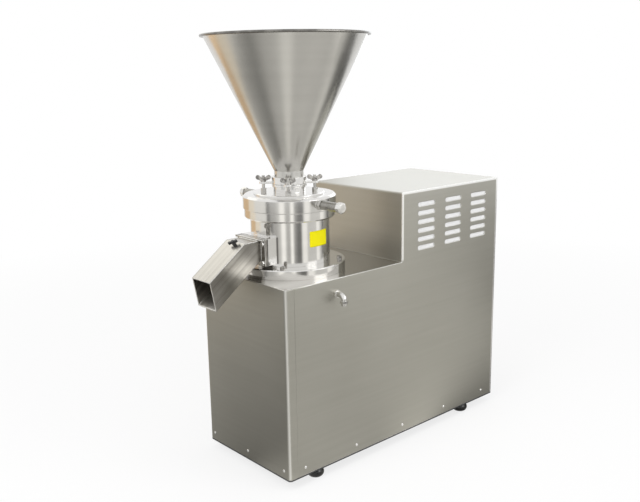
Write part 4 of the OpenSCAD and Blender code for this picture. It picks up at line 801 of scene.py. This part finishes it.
# %% Give each piece its finish
finish_of_slot = {"stainless": cabinet_sheet, "polished_steel": fitting_steel, "dark_paint": dark_paint,
                  "rubber": rubber, "felt": felt, "silicone": silicone, "black_plastic": plastic,
                  "machine_steel": works_steel, "seal_ceramic": ceramic, "pulley_iron": iron,
                  "motor_paint": motor_paint}
own_finish = {"front_panel": front_sheet, "cabinet_rivets": rivet_steel, "deck_plate": deck_sheet,
              "chute": chute_sheet, "hopper": hopper_steel, "hopper_rim": rim_steel,
              "base_disc": head_steel, "mill_housing": body_steel, "adjusting_ring": head_steel,
              "feed_cover": head_steel, "hopper_flange": head_steel, "handle_right": grip_steel,
              "handle_left": grip_steel, "handle_caps": cap_steel, "chute_bolts": cap_steel,
              "water_elbow": cap_steel, "lock_lever": reflection_patch_steel, "mill_bolts": reflection_patch_steel,
              "wing_nut_1": reflection_patch_steel, "wing_nut_2": reflection_patch_steel, "wing_nut_3": reflection_patch_steel,
              "wing_nut_4": reflection_patch_steel}
for subpart in frame["record"]["subparts"]:
    name = subpart["node"]
    finish = own_finish.get(name, finish_of_slot[subpart["material_slot"]])
    slots = nodes[name].data.materials
    slots.clear()
    slots.append(finish)

# %% [markdown]
# ## Sticker
# A plain yellow film is stuck on the mill's body below the ring. A flat quad would stand off the
# round wall, so the sticker is a fine grid that is bent to the body's radius, with rounded corners
# and a little thickness.

# %% Sticker
sticker_centre = math.radians(95.5)
sticker_half_w = 0.031
sticker_half_h = 0.0205
sticker_corner = 0.003
sticker_z = 0.6175
film = 0.0003
film_share = 0.8
columns = 24
rows = 14
film_round = 0.0005
film_scale = 60
film_rough = (0.35, 0.55)
film_shine = 0.1
film_depth = 0.0003


def wall_point(across, height, lift):
    """A point on the round wall, from a distance along the wall and a height on the sticker."""
    angle = sticker_centre + across / body_r
    reach = body_r + lift
    return Vector((math.sin(angle) * reach, mill_y - math.cos(angle) * reach, sticker_z + height))


def rounded(across, height):
    """Pulls a corner of the grid in to a quarter circle."""
    over_x = abs(across) - (sticker_half_w - sticker_corner)
    over_z = abs(height) - (sticker_half_h - sticker_corner)
    if over_x <= 0 or over_z <= 0:
        return across, height
    pull = max(over_x, over_z) / math.hypot(over_x, over_z)
    return (math.copysign(sticker_half_w - sticker_corner + over_x * pull, across),
            math.copysign(sticker_half_h - sticker_corner + over_z * pull, height))


form = bmesh.new()
grid = [[form.verts.new(wall_point(*rounded((2 * i / columns - 1) * sticker_half_w,
                                            (2 * j / rows - 1) * sticker_half_h), film))
         for j in range(rows + 1)] for i in range(columns + 1)]
for i in range(columns):
    for j in range(rows):
        form.faces.new((grid[i][j], grid[i + 1][j], grid[i + 1][j + 1], grid[i][j + 1]))
sticker_mesh = bpy.data.meshes.new("body_sticker")
form.to_mesh(sticker_mesh)
form.free()
sticker_mesh.shade_smooth()
sticker = bpy.data.objects.new("body_sticker", sticker_mesh)
scene.collection.objects.link(sticker)
thicken = sticker.modifiers.new("film", "SOLIDIFY")
thicken.thickness = film * film_share
thicken.offset = -1

yellow_film, start = new_finish("yellow_film")
point, _ = place_of(start)
normal, _ = edges(start, film_round)
creases = noise(start, point, film_scale, 3)
ink = tint(start, creases, (0.97, 0.85, 0.002, 1), (1.0, 0.91, 0.004, 1))
rough = creases * (film_rough[1] - film_rough[0]) + film_rough[0]
end_finish(start, {"Base Color": ink, "Roughness": rough, "Specular IOR Level": film_shine,
                   "Normal": bump(start, creases, film_depth, normal)})
sticker_mesh.materials.append(yellow_film)
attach(sticker, "cabinet")
print("sticker", columns * rows, "faces")

# %% [markdown]
# ## Feet
# The cabinet stands on four moulded rubber feet that bulge under its weight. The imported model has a
# plain round foot, so each one is spun again from a fuller profile: a list of radii and heights is
# turned about the foot's axis, and a subdivision surface makes the bulge smooth. A bore stays open for
# the screw.

# %% Feet
foot_corners = [vertex.co.copy() for vertex in nodes["feet"].data.vertices]
foot_profile = [(0.0086, 0.0006), (0.0105, 0.0), (0.0130, 0.0), (0.0155, 0.0),
                (0.0188, 0.0020), (0.0222, 0.0065), (0.0234, 0.0115), (0.0224, 0.0165),
                (0.0196, 0.0200), (0.0180, 0.0215), (0.0178, 0.0245), (0.0170, 0.0249),
                (0.0080, 0.0249), (0.0044, 0.0249), (0.0044, 0.0096), (0.0086, 0.0092)]
foot_turns = 28


def foot_centre(side, end):
    """The middle of the foot at one corner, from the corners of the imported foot."""
    own = [c for c in foot_corners if c.x * side > 0 and c.y * end > 0]
    return [(min(c[k] for c in own) + max(c[k] for c in own)) / 2 for k in (0, 1)]


def spin_foot(form, centre_x, centre_y):
    """Turns the profile about one foot's upright axis."""
    rings = []
    for turn in range(foot_turns):
        angle = 2 * math.pi * turn / foot_turns
        out_x, out_y = math.cos(angle), math.sin(angle)
        rings.append([form.verts.new((centre_x + out_x * radius, centre_y + out_y * radius, height))
                      for radius, height in foot_profile])
    count = len(foot_profile)
    for turn in range(foot_turns):
        here, there = rings[turn], rings[(turn + 1) % foot_turns]
        for k in range(count):
            form.faces.new((here[k], there[k], there[(k + 1) % count], here[(k + 1) % count]))


form = bmesh.new()
for side in (-1, 1):
    for end in (-1, 1):
        spin_foot(form, *foot_centre(side, end))
feet_mesh = bpy.data.meshes.new("rubber_feet")
form.to_mesh(feet_mesh)
form.free()
feet_mesh.shade_smooth()
feet_mesh.materials.append(foot_rubber)
feet = bpy.data.objects.new("rubber_feet", feet_mesh)
scene.collection.objects.link(feet)
feet.modifiers.new("bulge", "SUBSURF").levels = 1
feet.modifiers["bulge"].render_levels = 1
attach(feet, "cabinet")
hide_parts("feet")
print("feet", len(feet_mesh.polygons), "faces")

# %% [markdown]
# ## Vent slots
# The hood breathes through three columns of punched slots on each side. On the real machine the slots
# are slim, so each panel is copied and its slots are narrowed: the walls of a slot are found as one
# island of faces, and every corner slides towards the slot's long axis while its ends stay half round.

# %% Vent slots
felt_low, felt_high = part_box("vent_felts")
slim_slot = 0.68
wall_lean = 0.5
weld = 0.000001


def in_vent_zone(place):
    """True for a place in front of the felt."""
    return felt_low[1] < place.y < felt_high[1] and felt_low[2] < place.z < felt_high[2]


def wall_islands(form):
    """Groups of joined corners, one group for the walls of each slot."""
    walls = {face for face in form.faces
             if abs(face.normal.x) < wall_lean and in_vent_zone(face.calc_center_median())}
    while walls:
        waiting = [walls.pop()]
        corners = set()
        while waiting:
            face = waiting.pop()
            corners.update(face.verts)
            joined = {other for edge in face.edges for other in edge.link_faces} & walls
            walls -= joined
            waiting.extend(joined)
        yield corners


def slim(corners):
    """Narrows one slot to a share of its height, with its length and its round ends kept."""
    ys = [corner.co.y for corner in corners]
    zs = [corner.co.z for corner in corners]
    middle_y = (min(ys) + max(ys)) / 2
    middle_z = (min(zs) + max(zs)) / 2
    old_r = (max(zs) - min(zs)) / 2
    new_r = old_r * slim_slot
    half_l = (max(ys) - min(ys)) / 2
    for corner in corners:
        along = corner.co.y - middle_y
        angle = math.atan2(corner.co.z - middle_z, max(abs(along) - (half_l - old_r), 0.0))
        corner.co.y = middle_y + math.copysign(half_l - new_r + new_r * math.cos(angle), along)
        corner.co.z = middle_z + new_r * math.sin(angle)


def slim_panel(name, source):
    """A copy of a side panel with slimmer slots, which takes the panel's place."""
    form = bmesh.new()
    form.from_mesh(nodes[source].data)
    bmesh.ops.remove_doubles(form, verts=form.verts, dist=weld)
    slots = list(wall_islands(form))
    for corners in slots:
        slim(corners)
    mesh = bpy.data.meshes.new(name)
    form.to_mesh(mesh)
    form.free()
    mesh.materials.append(side_sheet)
    panel = bpy.data.objects.new(name, mesh)
    scene.collection.objects.link(panel)
    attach(panel, "cabinet")
    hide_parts(source)
    print(name, len(slots), "slots")


slim_panel("vented_panel_right", "side_panel_right")
slim_panel("vented_panel_left", "side_panel_left")
